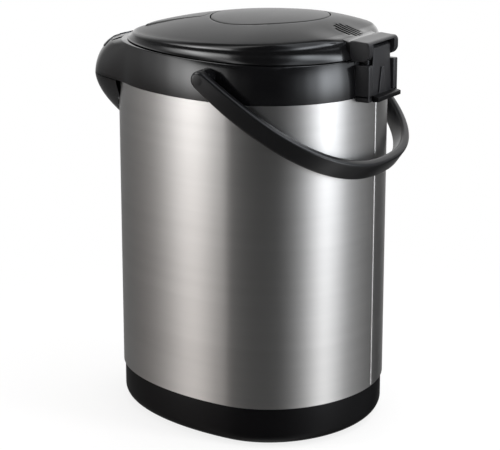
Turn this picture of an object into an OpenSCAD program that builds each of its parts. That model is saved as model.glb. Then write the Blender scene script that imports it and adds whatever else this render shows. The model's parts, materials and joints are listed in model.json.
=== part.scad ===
// Electric thermo pot: hot water dispenser with a motor pump, an air pump in the lid,
// a bail handle and a swivel base.
// Frame: +Z up, nose towards -Y, lid hinge towards +Y, swivel axis on Z, table at z = 0.

/* [Body] */
// Width of the body across its sides
body_w = 210; // [200:1:225]
// Depth of the body in front of its widest section
body_front = 162; // [155:1:170]
// Depth of the body behind its widest section
body_rear = 89; // [87:0.5:94]
// Height of the steel wrap's lower edge above the table
wrap_z = 37; // [34:0.5:42]
// Height of the steel wrap
wrap_h = 270; // [255:1:300]
// Thickness of the steel sheet
sheet_t = 1; // [0.8:0.1:1.3]
// Wall of the moulded shells
wall = 2.5; // [2:0.1:2.8]
// Height of the collar from the wrap to the lid's parting plane
collar_h = 34; // [33:0.5:38]

/* [Nose] */
// Reach of the nose's tip in front of the swivel axis
nose_reach = 192; // [188:1:197]
// Half width of the nose's blunt front
nose_half_w = 46; // [42:1:50]
// Depth of the spout cover's bowl below the collar, measured at the steel
cover_drop = 45; // [40:1:50]
// Radius of an ordinary button
button_r = 5.5; // [4.5:0.1:6]
// Radius of the dispense button
dispense_r = 7.5; // [6.5:0.1:8.5]
// Travel of a button
button_travel = 1.2; // [0.8:0.1:1.6]

/* [Lid] */
// Step from the body's side to the lid's side
lid_step = 4; // [3:0.5:5]
// Step from the body's front to the lid's front end
lid_front_step = 9.6; // [8:0.2:12]
// Height of the lid's crease above the parting plane
crease_h = 15.8; // [15:0.2:18]
// Rise of the dome above the crease
dome_h = 15.7; // [14:0.1:17]
// Radius of the press plate
press_r = 52.9; // [48:0.1:54]
// Travel of the press plate
press_travel = 14; // [8:0.5:15]
// Radius of the steam vent
vent_r = 13; // [11:0.1:14]
// Width of a vent slot
slot_w = 2.2; // [1.8:0.1:2.6]
// Half width of the lid lever
lever_half_w = 22; // [18:0.5:24]
// Length of the lid lever
lever_len = 62; // [55:1:64]

/* [Hinge] */
// Half width of the hinge block
hinge_half_w = 28; // [26:0.5:30]
// Width of one hinge cheek
cheek_w = 7.5; // [6.5:0.5:8]
// Radius of the hinge pin
hinge_pin_r = 2.5; // [2:0.1:3]
// Radius of the hinge knuckles
knuckle_r = 5.8; // [5:0.1:5.9]

/* [Handle] */
// Half width of the bail at its pivots, to the middle of the band
bail_half_w = 117; // [114:1:122]
// Reach of the bail from its pivots
bail_reach = 142; // [139:1:155]
// Height of the bail's band
bail_band_h = 18; // [15:0.5:20]
// Thickness of the bail's band
bail_band_t = 8; // [7:0.2:8.4]
// Angle of the folded bail below level
bail_rest = 36; // [34:1:38]
// Radius of a bail pin
bail_pin_r = 4; // [3.5:0.1:4.5]

/* [Vessel] */
// Outer radius of the inner pot
pot_r = 79; // [74:0.5:79.5]
// Height of the inner pot's floor
pot_z = 72; // [70:1:80]
// Outer radius of the rise tube
tube_r = 4.5; // [4:0.1:5]
// Radius of the swivel base
swivel_r = 58; // [52:0.5:60]

/* [Hidden] */

gap = 0.3;              // clearance between pieces that pass each other
run_fit = 0.05;         // radial clearance of a turning fit
black = "#202024";
gloss = "#17171b";
steel = "#b9b8b6";
rubber = "#2b2b2b";

// Outline of the body: two half ellipses on one width
half_w = body_w / 2;
outline_n = 72;
collar_z = wrap_z + wrap_h;             // height where wrap and collar meet
part_z = collar_z + collar_h;           // height of the lid's parting plane at y = 0
part_slope = -0.015;                    // the parting plane rises a little towards the nose
dome_slope = 0.046;                     // the dome falls towards the nose
rear_step = lid_step - 0.4;
crease_r = 9.6;
crease_in = 14.2;
nose_root = body_front - 40;            // where the nose leaves the body's outline
nose_mid_z = collar_z - 4;              // height of the nose's tip

function ellipse_pt(a, b, t) = [a * cos(t), b * sin(t)];
function egg(inset, f = 0, r = 0, n = outline_n) =
  [for (i = [0:n - 1])
    let (t = 360 * i / n)
    ellipse_pt(half_w - inset, t > 180 ? body_front - inset - f : body_rear - inset - r, t)];

// Shifts and tilts an outline to a ring of 3-D points
function ring(outline, z, slope = 0) = [for (p = outline) [p[0], p[1], z + slope * p[1]]];

// Solid through a list of rings that all have the same number of points
module loft(rings) {
  n = len(rings[0]);
  m = len(rings);
  sides = [for (j = [0:m - 2], i = [0:n - 1])
    let (a = j * n + i, b = j * n + (i + 1) % n)
    each [[a, b + n, b], [a, a + n, b + n]]];
  polyhedron(
    points = [for (r = rings) each r],
    faces = concat([[for (i = [0:n - 1]) i]], sides, [[for (i = [n - 1:-1:0]) (m - 1) * n + i]]),
    convexity = 8);
}

module egg_prism(inset, z0, z1, f = 0, r = 0) {
  translate([0, 0, z0]) linear_extrude(z1 - z0) polygon(egg(inset, f, r));
}

module tube(r_out, r_in, z0, z1) {
  translate([0, 0, z0]) difference() {
    cylinder(r = r_out, h = z1 - z0, $fn = 96);
    translate([0, 0, -1]) cylinder(r = r_in, h = z1 - z0 + 2, $fn = 96);
  }
}

// ---- collar and nose form ----
// Outline of the collar at one level: the body's outline, drawn out to the nose's reach
side_n = 9;
nose_n = 12;
root_t = asin(nose_root / body_front);
function bezier(a, b, c, d, t) =
  pow(1 - t, 3) * a + 3 * pow(1 - t, 2) * t * b + 3 * (1 - t) * t * t * c + t * t * t * d;
function nose_side(inset, reach) =
  let (
    a = half_w - inset,
    p0 = [a * cos(root_t), -nose_root],
    dir = [-a * sin(root_t) / body_front, -cos(root_t)],
    pull = 30 * (reach - nose_root) / (nose_reach - nose_root),
    p1 = p0 + pull * dir / norm(dir),
    p2 = [nose_half_w - inset, -reach],
    p3 = [0, -reach])
  concat(
    [for (i = [0:side_n - 1]) let (t = root_t * i / side_n) [a * cos(t), -body_front * sin(t)]],
    [for (i = [0:nose_n]) bezier(p0, p1, p2, p3, i / nose_n)]);
function nose_outline(inset, reach) =
  let (right = nose_side(inset, reach), last = len(right) - 1)
  concat(
    [for (i = [last:-1:1]) right[i]],
    [for (i = [0:21]) ellipse_pt(half_w - inset, body_rear - inset, 180 * i / 22)],
    [for (i = [0:last - 1]) [-right[i][0], right[i][1]]]);

lid_front = body_front - lid_front_step;
nose_rise = part_z - part_slope * lid_front - nose_mid_z;
function reach_at(z, d) =
  lid_front + (nose_reach - lid_front - d)
    * sqrt(max(0, 1 - pow((z - nose_mid_z) / (nose_rise + 0.2 - d), 2)));
collar_levels = [0, 0.32, 0.56, 0.74, 0.87, 0.95];

// The collar's outer form, drawn in by d on every side
module collar_form(d = 0) {
  rings = [for (k = collar_levels)
    let (z = collar_z + k * (collar_h - d))
    ring(nose_outline(d + lid_step * pow(k, 2), reach_at(z, d)), z)];
  top = ring(nose_outline(lid_step + d, lid_front + 2 - d), part_z - 0.4 - d, part_slope);
  foot = ring(nose_outline(d, reach_at(collar_z, d)), collar_z - 1);
  loft(concat(d > 0 ? [foot] : [], rings, [top]));
}

// Front part of the same form, for what is set into the nose's top
module nose_form(d) {
  rings = [for (k = [0.32, 0.56, 0.74, 0.87, 0.95, 1])
    let (
      z = k < 1 ? collar_z + k * (collar_h - d) : part_z - part_slope * lid_front - 0.4 - d,
      side = nose_side(d + lid_step * k * k, k < 1 ? reach_at(z, d) : lid_front + 2 - d),
      half = [for (i = [side_n:len(side) - 1]) side[i]],
      last = len(half) - 1)
    ring(concat([for (i = [last:-1:0]) half[i]], [for (i = [0:last - 1]) [-half[i][0], half[i][1]]]), z)];
  loft(rings);
}

// ---- lid form ----
lid_n = 56;
function lid_ring(inset, z, slope) =
  ring([for (i = [0:lid_n - 1])
    let (t = 360 * i / lid_n)
    ellipse_pt(half_w - lid_step - inset,
      t > 180 ? lid_front - inset : body_rear - rear_step - inset, t)], z, slope);
function dome_ring(k, d) =
  [for (i = [0:lid_n - 1])
    let (
      t = 360 * i / lid_n,
      side = half_w - lid_step - crease_in - d,
      front = lid_front - crease_in - d,
      rear = body_rear - rear_step - crease_in - d,
      y = (t > 180 ? front : rear) * sin(t) * k)
    [side * cos(t) * k, y, part_z + crease_h - d + dome_h * (1 - k * k) + dome_slope * y * k]];
dome_levels = [0.85, 0.7, 0.52, 0.34, 0.15];
crease_turns = [0, 30, 60, 90];

// The lid's outer form, drawn in by d on every side; its foot goes down by drop
module lid_form(d = 0, drop = 0) {
  crease = [for (q = crease_turns)
    lid_ring(d + crease_in - crease_r * cos(q),
      part_z + crease_h - d - crease_r * (1 - sin(q)), dome_slope * sin(q))];
  dome = [for (k = dome_levels) dome_ring(k, d)];
  loft(concat([lid_ring(d, part_z + 0.4 - drop, part_slope)], crease, dome));
}

// The dome alone, for what is set into it
module dome_form(d) {
  foot = lid_ring(d + crease_in, part_z + crease_h - d - 8, dome_slope);
  loft(concat([foot], [for (k = concat([1], dome_levels)) dome_ring(k, d)]));
}

// The same dome, let down by a depth
module sunk_dome(depth) {
  translate([0, 0, -depth]) dome_form(0);
}

// ---- swivel base ----
foot_h = 3;
foot_out = 1.5;
swivel_top = 6.5;
hub_r = 10;
hub_top = 13;
foot_count = 6;
foot_ring_r = swivel_r - 12;
foot_r = 8;

module foot_places() {
  children();
  for (i = [0:foot_count - 1]) rotate(360 * i / foot_count)
    translate([foot_ring_r, 0, 0]) children();
}

module swivel_base() color(black) difference() {
  union() {
    rotate_extrude($fn = 96) polygon([
      [0, foot_out], [swivel_r - 1.5, foot_out], [swivel_r, foot_out + 1.5], [swivel_r, swivel_top],
      [swivel_r - 4, swivel_top], [swivel_r - 4, swivel_top - 1.5], [hub_r + 6, swivel_top - 1.5],
      [hub_r + 6, swivel_top], [0, swivel_top]]);
    cylinder(r = hub_r, h = hub_top, $fn = 64);
  }
  translate([0, 0, hub_top - 5]) cylinder(r = hub_r - 3, h = 6, $fn = 48);
  translate([0, 0, -1]) cylinder(r = hub_r + 1, h = foot_out + 1, $fn = 48);
  foot_places() translate([0, 0, -1]) cylinder(r = foot_r, h = foot_h + 1, $fn = 40);
}

module swivel_feet() color(rubber)
  foot_places() rotate_extrude($fn = 40)
    polygon([[0, 0], [foot_r - 1, 0], [foot_r - 0.2, 0.8], [foot_r - 0.2, foot_h], [0, foot_h]]);

// ---- base ----
base_in = 1.5;           // the base stands back from the steel
base_z = 3;
base_round = 15;
spigot_in = 3.3;
spigot_h = 9;
cover_in = base_in + base_round + 3;
seat_in = cover_in + 5.5;
cover_t = 2;
seat_t = 2.5;
pocket_z = base_z + cover_t + seat_t;
pocket_in = 10;
well_r = swivel_r + 1.5;

module base_shell() color(black) difference() {
  union() {
    loft([
      for (q = [0:18:90])
        ring(egg(base_in + base_round * (1 - sin(q)), n = 64), base_z + base_round * (1 - cos(q))),
      ring(egg(base_in, n = 64), wrap_z)]);
    egg_prism(spigot_in, wrap_z - 1, wrap_z + spigot_h);
  }
  egg_prism(pocket_in, pocket_z, pocket_z + 5);
  egg_prism(spigot_in + wall, pocket_z + 4.5, wrap_z + spigot_h + 1);
  egg_prism(seat_in, base_z - 1, pocket_z + 1);
  egg_prism(cover_in, base_z - 1, base_z + cover_t);
  screw_places() translate([0, 0, base_z]) cylinder(r = screw_r, h = 8, $fn = 32);
}

screw_r = 1.6;
screw_head_r = 3.2;
module screw_places() {
  for (t = [20, 160, 235, 305])
    translate(ellipse_pt(half_w - cover_in - 2.7, (t > 180 ? body_front : body_rear) - cover_in - 2.7, t))
      children();
}

module bottom_cover() color(black) difference() {
  union() {
    egg_prism(cover_in + gap, base_z, base_z + cover_t);
    translate([0, 0, base_z]) cylinder(r = well_r + wall, h = swivel_top + gap + wall - base_z, $fn = 96);
    translate([0, 0, base_z]) cylinder(r = hub_r + 4, h = hub_top + 3 - base_z, $fn = 64);
    // cradle of the motor, pillars of the pump and of the power board
    translate([0, pump_y, 0]) tube(motor_r + 3, motor_r, base_z + 1, motor_z + 5);
    translate([0, pump_y, base_z + 1]) cylinder(r = motor_r + 1, h = motor_z - base_z - 1, $fn = 64);
    ear_places() translate([0, 0, base_z + 1]) cylinder(r = 3, h = pump_z - base_z - 1, $fn = 32);
    board_places() translate([0, 0, swivel_top + gap + 1])
      cylinder(r = 3, h = board_z - swivel_top - gap - 1, $fn = 32);
  }
  translate([0, 0, -1]) cylinder(r = well_r, h = swivel_top + gap + 1, $fn = 96);
  translate([0, 0, -1]) cylinder(r = hub_r + run_fit, h = hub_top + 2, $fn = 64);
  screw_places() translate([0, 0, base_z - 1]) cylinder(r = screw_r + 0.2, h = 8, $fn = 32);
}

module bottom_screws() color(steel)
  screw_places() union() {
    translate([0, 0, base_z - 1.2]) cylinder(r = screw_head_r, h = 1.2, $fn = 32);
    translate([0, 0, base_z - 0.2]) cylinder(r = screw_r - 0.05, h = 6, $fn = 32);
  }

// ---- steel wrap ----
hem_t = 1.2;
seam_x = -5;
seam_r = 1.5;
seam_h = 0.7;
gauge_w = 15;
gauge_z0 = wrap_z + 38;
gauge_z1 = wrap_z + 208;
inlet_y = 8;
inlet_z = wrap_z + 26;
inlet_w = 40;
inlet_h = 26;
inlet_depth = 16;

module body_wrap() color(steel) difference() {
  union() {
    egg_prism(0, wrap_z, collar_z);
    // folded seam that closes the sheet at the rear
    translate([seam_x, body_rear - seam_r + seam_h, wrap_z + hem_t])
      cylinder(r = seam_r, h = wrap_h - 2 * hem_t, $fn = 24);
  }
  difference() {
    egg_prism(sheet_t, wrap_z - 1, collar_z + 1);
    // rolled hems stand inwards at both ends
    difference() {
      union() {
        egg_prism(0, wrap_z - 1, wrap_z + hem_t);
        egg_prism(0, collar_z - hem_t, collar_z + 1);
      }
      egg_prism(spigot_in - 0.2, wrap_z - 2, collar_z + 2);
    }
  }
  // window of the water gauge
  translate([-gauge_w / 2 - gap, -body_front - 2, gauge_z0 - gap])
    cube([gauge_w + 2 * gap, 6, gauge_z1 - gauge_z0 + 2 * gap]);
  // socket of the power inlet
  translate([-half_w - 2, inlet_y - inlet_w / 2 - gap, inlet_z - inlet_h / 2 - gap])
    cube([inlet_depth, inlet_w + 2 * gap, inlet_h + 2 * gap]);
}

// Band that follows the wrap between two depths
module wrap_band(d0, d1, z0, z1) {
  difference() {
    egg_prism(d0, z0, z1);
    egg_prism(d1, z0 - 1, z1 + 1);
  }
}

flange = 3;              // flanges behind the sheet hold the gauge and the inlet
flange_t = 2;
module gauge_window() color("#c8d4da", 0.5) {
  intersection() {
    wrap_band(0.3, sheet_t + flange_t, gauge_z0, gauge_z1);
    translate([-gauge_w / 2, -body_front, gauge_z0]) cube([gauge_w, 8, gauge_z1 - gauge_z0]);
  }
  intersection() {
    wrap_band(sheet_t, sheet_t + flange_t, gauge_z0 - flange, gauge_z1 + flange);
    translate([-gauge_w / 2 - flange, -body_front, gauge_z0 - flange])
      cube([gauge_w + 2 * flange, 8, gauge_z1 - gauge_z0 + 2 * flange]);
  }
}

module power_inlet() color(black) {
  x0 = -half_w - 0.8;
  difference() {
    translate([x0, inlet_y - inlet_w / 2, inlet_z - inlet_h / 2]) cube([inlet_depth, inlet_w, inlet_h]);
    translate([x0 - 1, inlet_y - inlet_w / 2 + 3.5, inlet_z - inlet_h / 2 + 3.5])
      cube([9, inlet_w - 7, inlet_h - 7]);
  }
  for (s = [-1, 1]) translate([x0 + 3, inlet_y + 8 * s, inlet_z]) rotate([0, 90, 0])
    cylinder(r = 2, h = 5.5, $fn = 32);
  intersection() {
    wrap_band(sheet_t, sheet_t + flange_t, inlet_z - inlet_h / 2 - flange, inlet_z + inlet_h / 2 + flange);
    difference() {
      translate([-half_w, inlet_y - inlet_w / 2 - flange, inlet_z - inlet_h / 2 - flange])
        cube([20, inlet_w + 2 * flange, inlet_h + 2 * flange]);
      translate([-half_w - 1, inlet_y - inlet_w / 2 + 2, inlet_z - inlet_h / 2 + 2])
        cube([22, inlet_w - 4, inlet_h - 4]);
    }
  }
}

// ---- collar ----
deck_z = collar_z + 20;
deck_t = 2.5;
recess_in = 2.5;
pot_y = 0.6 * (body_rear - pot_r) - 12;   // the vessel's rim clears the collar's rear wall
mouth_r = pot_r + 3;
spigot_drop = 8;
hinge_y = body_rear + 1.5;
hinge_z = part_z + 5.5;
hinge_rear = 7.5;                     // the hinge block's rear face lies this far behind the pin
post_y = hinge_y + hinge_rear;
post_top = hinge_z - 9;
post_drop = 3;
pillar_in = 11;
bail_y = -16;
bail_z = collar_z + 21;
boss_r = 8;
boss_x = bail_half_w - bail_band_t / 2 - 0.6;
boss_root = half_w - lid_step - recess_in;   // flush with the recess's wall
pin_root = boss_root + 1;
inner_half_w = hinge_half_w - cheek_w;

module bail_pin_places() {
  for (s = [-1, 1]) translate([0, bail_y, bail_z]) rotate([0, 90 * s, 0]) children();
}

module lid_recess(d, z0, z1) {
  translate([0, 0, z0]) linear_extrude(z1 - z0)
    polygon(egg(lid_step + d, lid_front_step - lid_step, rear_step - lid_step));
}

module hinge_posts() {
  for (s = [-1, 1]) {
    x0 = s > 0 ? inner_half_w : -hinge_half_w;
    translate([x0, hinge_y - 6, collar_z]) cube([cheek_w, hinge_rear + 6, post_top - collar_z]);
    translate([x0, body_rear + 0.4, collar_z - post_drop])
      cube([cheek_w, post_y - body_rear - 0.4, post_drop + 1]);
  }
}

module hinge_pillars() {
  for (s = [-1, 1]) {
    x0 = s > 0 ? pillar_in : -inner_half_w + 0.8;
    w = inner_half_w - 0.8 - pillar_in;
    translate([x0, hinge_y, hinge_z]) rotate([0, 90, 0]) cylinder(r = knuckle_r, h = w, $fn = 48);
    translate([x0, body_rear - 3, collar_z + 2])
      cube([w, hinge_y + 2.2 - body_rear + 3, hinge_z - collar_z - 2]);
  }
}

module collar() color(gloss) difference() {
  union() {
    difference() {
      collar_form();
      // hollow below the deck and inside the nose
      difference() {
        collar_form(wall);
        lid_recess(recess_in - wall, deck_z - deck_t, part_z + 10);
      }
      lid_recess(recess_in, deck_z, part_z + 10);
      translate([0, pot_y, collar_z]) cylinder(r = mouth_r, h = collar_h, $fn = 96);
      // room for the lid's cheeks over the posts
      translate([-hinge_half_w - 1, hinge_y - 16, post_top]) cube([2 * hinge_half_w + 2, 30, 30]);
      // notch for the latch
      translate([-latch_w / 2 - 0.6, -lid_front + 0.2, latch_z - 2]) cube([latch_w + 1.2, 4, 30]);
    }
    // spigot that drops into the wrap
    difference() {
      union() {
        egg_prism(spigot_in, collar_z - spigot_drop, collar_z + 1);
        egg_prism(wall - 1, collar_z, collar_z + wall);
      }
      egg_prism(spigot_in + wall, collar_z - spigot_drop - 1, collar_z + wall + 1);
      // passage of the spout's elbow
      translate([-12, -body_front, collar_z - spigot_drop - 1]) cube([24, 14, spigot_drop + wall + 2]);
    }
    hinge_posts();
    hinge_pillars();
    bail_pin_places() translate([0, 0, boss_root]) cylinder(r = boss_r, h = boss_x - boss_root, $fn = 64);
    intersection() {
      board_bosses();
      nose_form(panel_t + 0.3);
    }
  }
  translate([-hinge_half_w, hinge_y, hinge_z]) rotate([0, 90, 0])
    cylinder(r = hinge_pin_r, h = 2 * hinge_half_w, $fn = 48);
  bail_pin_places() translate([0, 0, pin_root])
    cylinder(r = bail_pin_r, h = bail_half_w - pin_root, $fn = 48);
  panel_prism(0.25, panel_t + 0.15);
  button_bores();
}

module bail_pins() color(steel)
  bail_pin_places() translate([0, 0, pin_root])
    cylinder(r = bail_pin_r, h = bail_half_w + 2 - pin_root, $fn = 48);

module hinge_pin() color(steel)
  translate([-hinge_half_w + 0.6, hinge_y, hinge_z]) rotate([0, 90, 0])
    cylinder(r = hinge_pin_r, h = 2 * hinge_half_w - 1.2, $fn = 48);

// ---- spout cover: lower half of the nose ----
cover_line = 0.6;        // height of the fine shadow line below the collar
cover_back = 136;        // where its side walls end beside the steel
cover_gap = 1.5;         // stands off the steel
cover_narrow = 0.4;
cover_start = body_front - 12;
cover_levels = [1, 0.96, 0.88, 0.74, 0.55, 0.3, 0.12, 0];
outlet_r = 7.5;

function cover_ring(k, d, z) =
  let (
    reach = cover_start + (nose_reach - cover_start - d) * pow(1 - k * k, 0.9),
    side = nose_side(d, nose_reach - d),
    narrow = 1 - cover_narrow * pow(k, 1.3),
    stretch = (reach - cover_back) / (nose_reach - d - cover_back),
    half = [for (i = [side_n + 3:len(side) - 1])
      [side[i][0] * narrow, -cover_back + (side[i][1] + cover_back) * stretch]],
    last = len(half) - 1)
  ring(concat([for (i = [last:-1:0]) half[i]], [for (i = [0:last - 1]) [-half[i][0], half[i][1]]]), z);
module cover_form(d) {
  drop = cover_drop - cover_line - d;
  loft([for (k = cover_levels) cover_ring(k, d, collar_z - cover_line - drop * k)]);
}

module spout_cover() color(gloss) difference() {
  union() {
    cover_form(0);
    // lip that meets the collar's edge inside the shadow line
    loft([cover_ring(0, 0.6, collar_z - 2), cover_ring(0, 0.6, collar_z)]);
  }
  cover_form(wall);
  loft([cover_ring(0, wall, collar_z - 3), cover_ring(0, wall, collar_z + 1)]);
  egg_prism(-cover_gap, collar_z - cover_drop - 5, collar_z + 5);
  translate([0, nozzle_y, collar_z - cover_drop - 5]) cylinder(r = outlet_r, h = cover_drop, $fn = 48);
}

// ---- controls on the nose ----
panel_t = 1.2;
panel_half_w = 41;
nose_span = nose_reach - lid_front;     // depth of the nose in front of the lid
panel_y0 = lid_front + 0.094 * nose_span;
panel_y1 = lid_front + 0.75 * nose_span;
control_share = 0.455;                  // place of the button row in that depth
control_y = -(lid_front + control_share * nose_span);
control_z = nose_mid_z + nose_rise * sqrt(1 - pow(control_share, 2)) + 0.4;
control_tilt = atan(nose_rise * control_share / (nose_span * sqrt(1 - pow(control_share, 2))));
button_head = 0.8;
board_depth = 10.4;
boss_screw_r = 1.6;
button_x1 = dispense_r + button_r + 3;  // places of the inner and the outer buttons
button_x2 = button_x1 + 2 * button_r + 2;
between_x = (button_x1 + button_x2) / 2;

// Upright prism over the control area, outside the lid's edge
module panel_prism(grow, depth) {
  w = panel_half_w + grow;
  difference() {
    translate([0, 0, collar_z + 8]) linear_extrude(collar_h) difference() {
      polygon([
        [-w, -panel_y0 - 4], [8 - w, -panel_y1 - grow], [w - 8, -panel_y1 - grow],
        [w, -panel_y0 - 4], [w - 8, -panel_y0 + 6], [8 - w, -panel_y0 + 6]]);
      polygon(egg(lid_step - 3 + grow, lid_front_step - lid_step, 0));
    }
    nose_form(depth);
  }
}

// Places a child on a button's axis, z against the push
module on_axis(x) {
  translate([x, control_y, control_z]) rotate([control_tilt, 0, 0]) children();
}
button_xs = [-button_x2, -button_x1, 0, button_x1, button_x2];
module button_bores() {
  for (x = button_xs)
    on_axis(x) translate([0, 0, -16]) cylinder(r = (x == 0 ? dispense_r : button_r) + gap, h = 40, $fn = 40);
}
module board_bosses() {
  for (s = [-1, 1]) on_axis(between_x * s) translate([0, button_r + 0.5, -board_depth])
    cylinder(r = boss_screw_r, h = 20, $fn = 24);
}

module button(x, r) {
  intersection() {
    nose_form(-button_head);
    on_axis(x) translate([0, 0, -6]) cylinder(r = r, h = 20, $fn = 40);
  }
  on_axis(x) translate([0, 0, button_travel + 0.2 - board_depth]) cylinder(r = 1.8, h = 5, $fn = 24);
}
module dispense_button() color("#3d4b57") button(button_xs[2], dispense_r);
module unlock_button() color("#8a2f2a") button(button_xs[1], button_r);
module reboil_button() color("#4a4d52") button(button_xs[0], button_r);
module keepwarm_button() color("#4a4d52") button(button_xs[3], button_r);
module timer_button() color("#4a4d52") button(button_xs[4], button_r);

window_half_w = 13;
window_edge = 1.5;
window_y = control_y + (dispense_r + gap) * cos(control_tilt) + window_edge;
module window_area() {
  translate([-window_half_w, window_y, collar_z + 8])
    cube([2 * window_half_w, -panel_y0 - window_edge - window_y, collar_h]);
}
module control_panel() color("#2c2e33") difference() {
  intersection() {
    panel_prism(0, panel_t);
    nose_form(0.05);
  }
  button_bores();
  window_area();
  lamp_places() translate([0, 0, -10]) cylinder(r = lamp_r, h = 40, $fn = 24);
}
module display_window() color("#7f8f86") intersection() {
  window_area();
  difference() {
    nose_form(0.1);
    nose_form(panel_t);
  }
}
lamp_r = 1.25;
module lamp_places() {
  for (s = [-1, 1]) on_axis(between_x * s) translate([0, button_r + 2.5, 0]) children();
}
module indicator_lamps() color("#b5482f") intersection() {
  lamp_places() translate([0, 0, -10]) cylinder(r = lamp_r, h = 40, $fn = 24);
  difference() {
    nose_form(0.1);
    nose_form(panel_t);
  }
}
board_t = 1.6;
module control_board() color("#2f5b3c")
  on_axis(0) translate([-button_x2 - 2, -4.5, -board_depth - board_t])
    cube([2 * button_x2 + 4, button_r + 7, board_t]);

// ---- water path ----
rise_y = -(body_front - 10);
elbow_bend = 9;
nozzle_y = rise_y - 2 * elbow_bend;
elbow_z = collar_z - 3;
nozzle_drop = 30;        // the nozzle ends in the opening of the cover's underside
pump_y = -(body_front - 48);
pump_r = 24;
pump_z = 50;
pump_h = 18;
hose_r = 6;
hose_t = 1.5;
port_z = pot_z + 12;
hose_bend = 12;
stub = pot_y - pot_r - pump_y - hose_bend;   // the vessel's port ends where the hose bends down

module inner_pot() color(steel) translate([0, pot_y, 0]) union() {
  difference() {
    union() {
      translate([0, 0, pot_z]) rotate_extrude($fn = 96) polygon(concat(
        [[0, 0]],
        [for (q = [0:15:90]) [pot_r - 8 + 8 * sin(q), 8 - 8 * cos(q)]],
        [[pot_r, deck_z - deck_t - 2.7 - pot_z], [pot_r + 6, deck_z - deck_t - 2.7 - pot_z],
         [pot_r + 6, deck_z - deck_t - 1.5 - pot_z], [0, deck_z - deck_t - 1.5 - pot_z]]));
      translate([0, 0, port_z]) rotate([90, 0, 0]) cylinder(r = hose_r - hose_t, h = pot_r + stub, $fn = 48);
    }
    translate([0, 0, pot_z + 1]) rotate_extrude($fn = 96) polygon(concat(
      [[0, 0]],
      [for (q = [0:15:90]) [pot_r - 8 + 7 * sin(q), 7 - 7 * cos(q)]],
      [[pot_r - 1, deck_z], [0, deck_z]]));
    translate([0, 0, port_z]) rotate([90, 0, 0])
      cylinder(r = hose_r - hose_t - 1, h = pot_r + stub + 2, $fn = 48);
  }
}

module pot_gasket() color("#d8d3c8") translate([0, pot_y, 0]) rotate_extrude($fn = 96) polygon([
  [pot_r - 0.5, deck_z - deck_t - 1.5], [pot_r + 6, deck_z - deck_t - 1.5], [pot_r + 6, deck_z - deck_t],
  [mouth_r - 0.2, deck_z - deck_t], [mouth_r - 0.2, deck_z + 0.8], [pot_r - 0.5, deck_z + 0.8]]);

// Bright sheet round the vessel, its ends turned in to the vessel's wall
shield_t = 0.6;
shield_gap = 4.9;
module heat_shield() color("#cfcfcf") translate([0, pot_y, 0]) rotate_extrude($fn = 96) {
  z0 = pot_z + 26;
  z1 = collar_z - 12;
  r = pot_r + shield_gap;
  translate([r, z0]) square([shield_t, z1 - z0]);
  translate([pot_r, z0]) square([shield_gap + shield_t, shield_t]);
  translate([pot_r, z1 - shield_t]) square([shield_gap + shield_t, shield_t]);
}
module heater_plate() color("#9a9a98") translate([0, pot_y, pot_z - 6]) difference() {
  cylinder(r = pot_r - 10, h = 6, $fn = 96);
  translate([0, 0, -1]) cylinder(r = 12, h = 4, $fn = 48);
  for (a = [0, 180]) rotate(a) translate([0, 0, -1]) rotate_extrude(angle = 150, $fn = 96)
    translate([pot_r - 30, 0]) square([4, 3]);
}
module thermostat() color("#b8a98a") translate([0, pot_y, pot_z - 11]) union() {
  cylinder(r = 11.5, h = 8, $fn = 48);
  translate([-13, -3, 1]) cube([26, 6, 1]);
}
band_up = 42;            // the keep-warm band lies this far above the vessel's floor
band_h = 30;
band_t = 3;
module band_heater() color("#a79f8d") translate([0, pot_y, pot_z + band_up]) difference() {
  tube(pot_r + band_t, pot_r, 0, band_h);
  translate([0, 0, -2]) rotate(20) cube([pot_r + band_t + 2, 3, band_h + 4]);
}

module quarter_tube(bend, r_out, r_in) {
  rotate_extrude(angle = 90, $fn = 48) translate([bend, 0]) difference() {
    circle(r = r_out, $fn = 32);
    circle(r = r_in, $fn = 32);
  }
}

// Silicone elbow from the vessel's port down to the pump
module inlet_hose() color("#cfc9bd") {
  y0 = pump_y + hose_bend;
  translate([0, y0, port_z - hose_bend]) rotate([90, 0, -90])
    quarter_tube(hose_bend, hose_r, hose_r - hose_t);
  translate([0, y0, port_z]) rotate([-90, 0, 0]) tube(hose_r, hose_r - hose_t, 0, stub - gap);
  translate([0, pump_y, 0]) tube(hose_r, hose_r - hose_t, pump_z + pump_h, port_z - hose_bend);
}

pump_port_r = hose_r - hose_t;
pump_out_z = pump_z + pump_h - 6;
pump_out_l = 6;
ear_r = pump_r + 1.5;
axle_r = 2;
module ear_places() {
  translate([0, pump_y, 0]) for (a = [90, 210, 330]) rotate(a) translate([ear_r, 0, 0]) children();
}
module pump_housing() color("#e4e1d8") difference() {
  union() {
    translate([0, pump_y, pump_z]) cylinder(r = pump_r, h = pump_h, $fn = 64);
    translate([0, pump_y, pump_z]) cylinder(r = pump_port_r, h = pump_h + 5, $fn = 40);
    translate([0, pump_y, pump_out_z]) rotate([90, 0, 0])
      cylinder(r = tube_r, h = pump_r + pump_out_l, $fn = 40);
    ear_places() translate([0, 0, pump_z]) cylinder(r = 4, h = 3, $fn = 32);
  }
  difference() {
    translate([0, pump_y, pump_z + 2]) cylinder(r = pump_r - 3, h = pump_h - 4, $fn = 64);
    translate([0, pump_y, pump_z]) cylinder(r = axle_r, h = 11, $fn = 32);
  }
  translate([0, pump_y, pump_z + pump_h - 3]) cylinder(r = pump_port_r - 1.2, h = 12, $fn = 40);
  translate([0, pump_y - pump_r + 6, pump_out_z]) rotate([90, 0, 0])
    cylinder(r = tube_r - 1.2, h = 20, $fn = 40);
}

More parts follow.
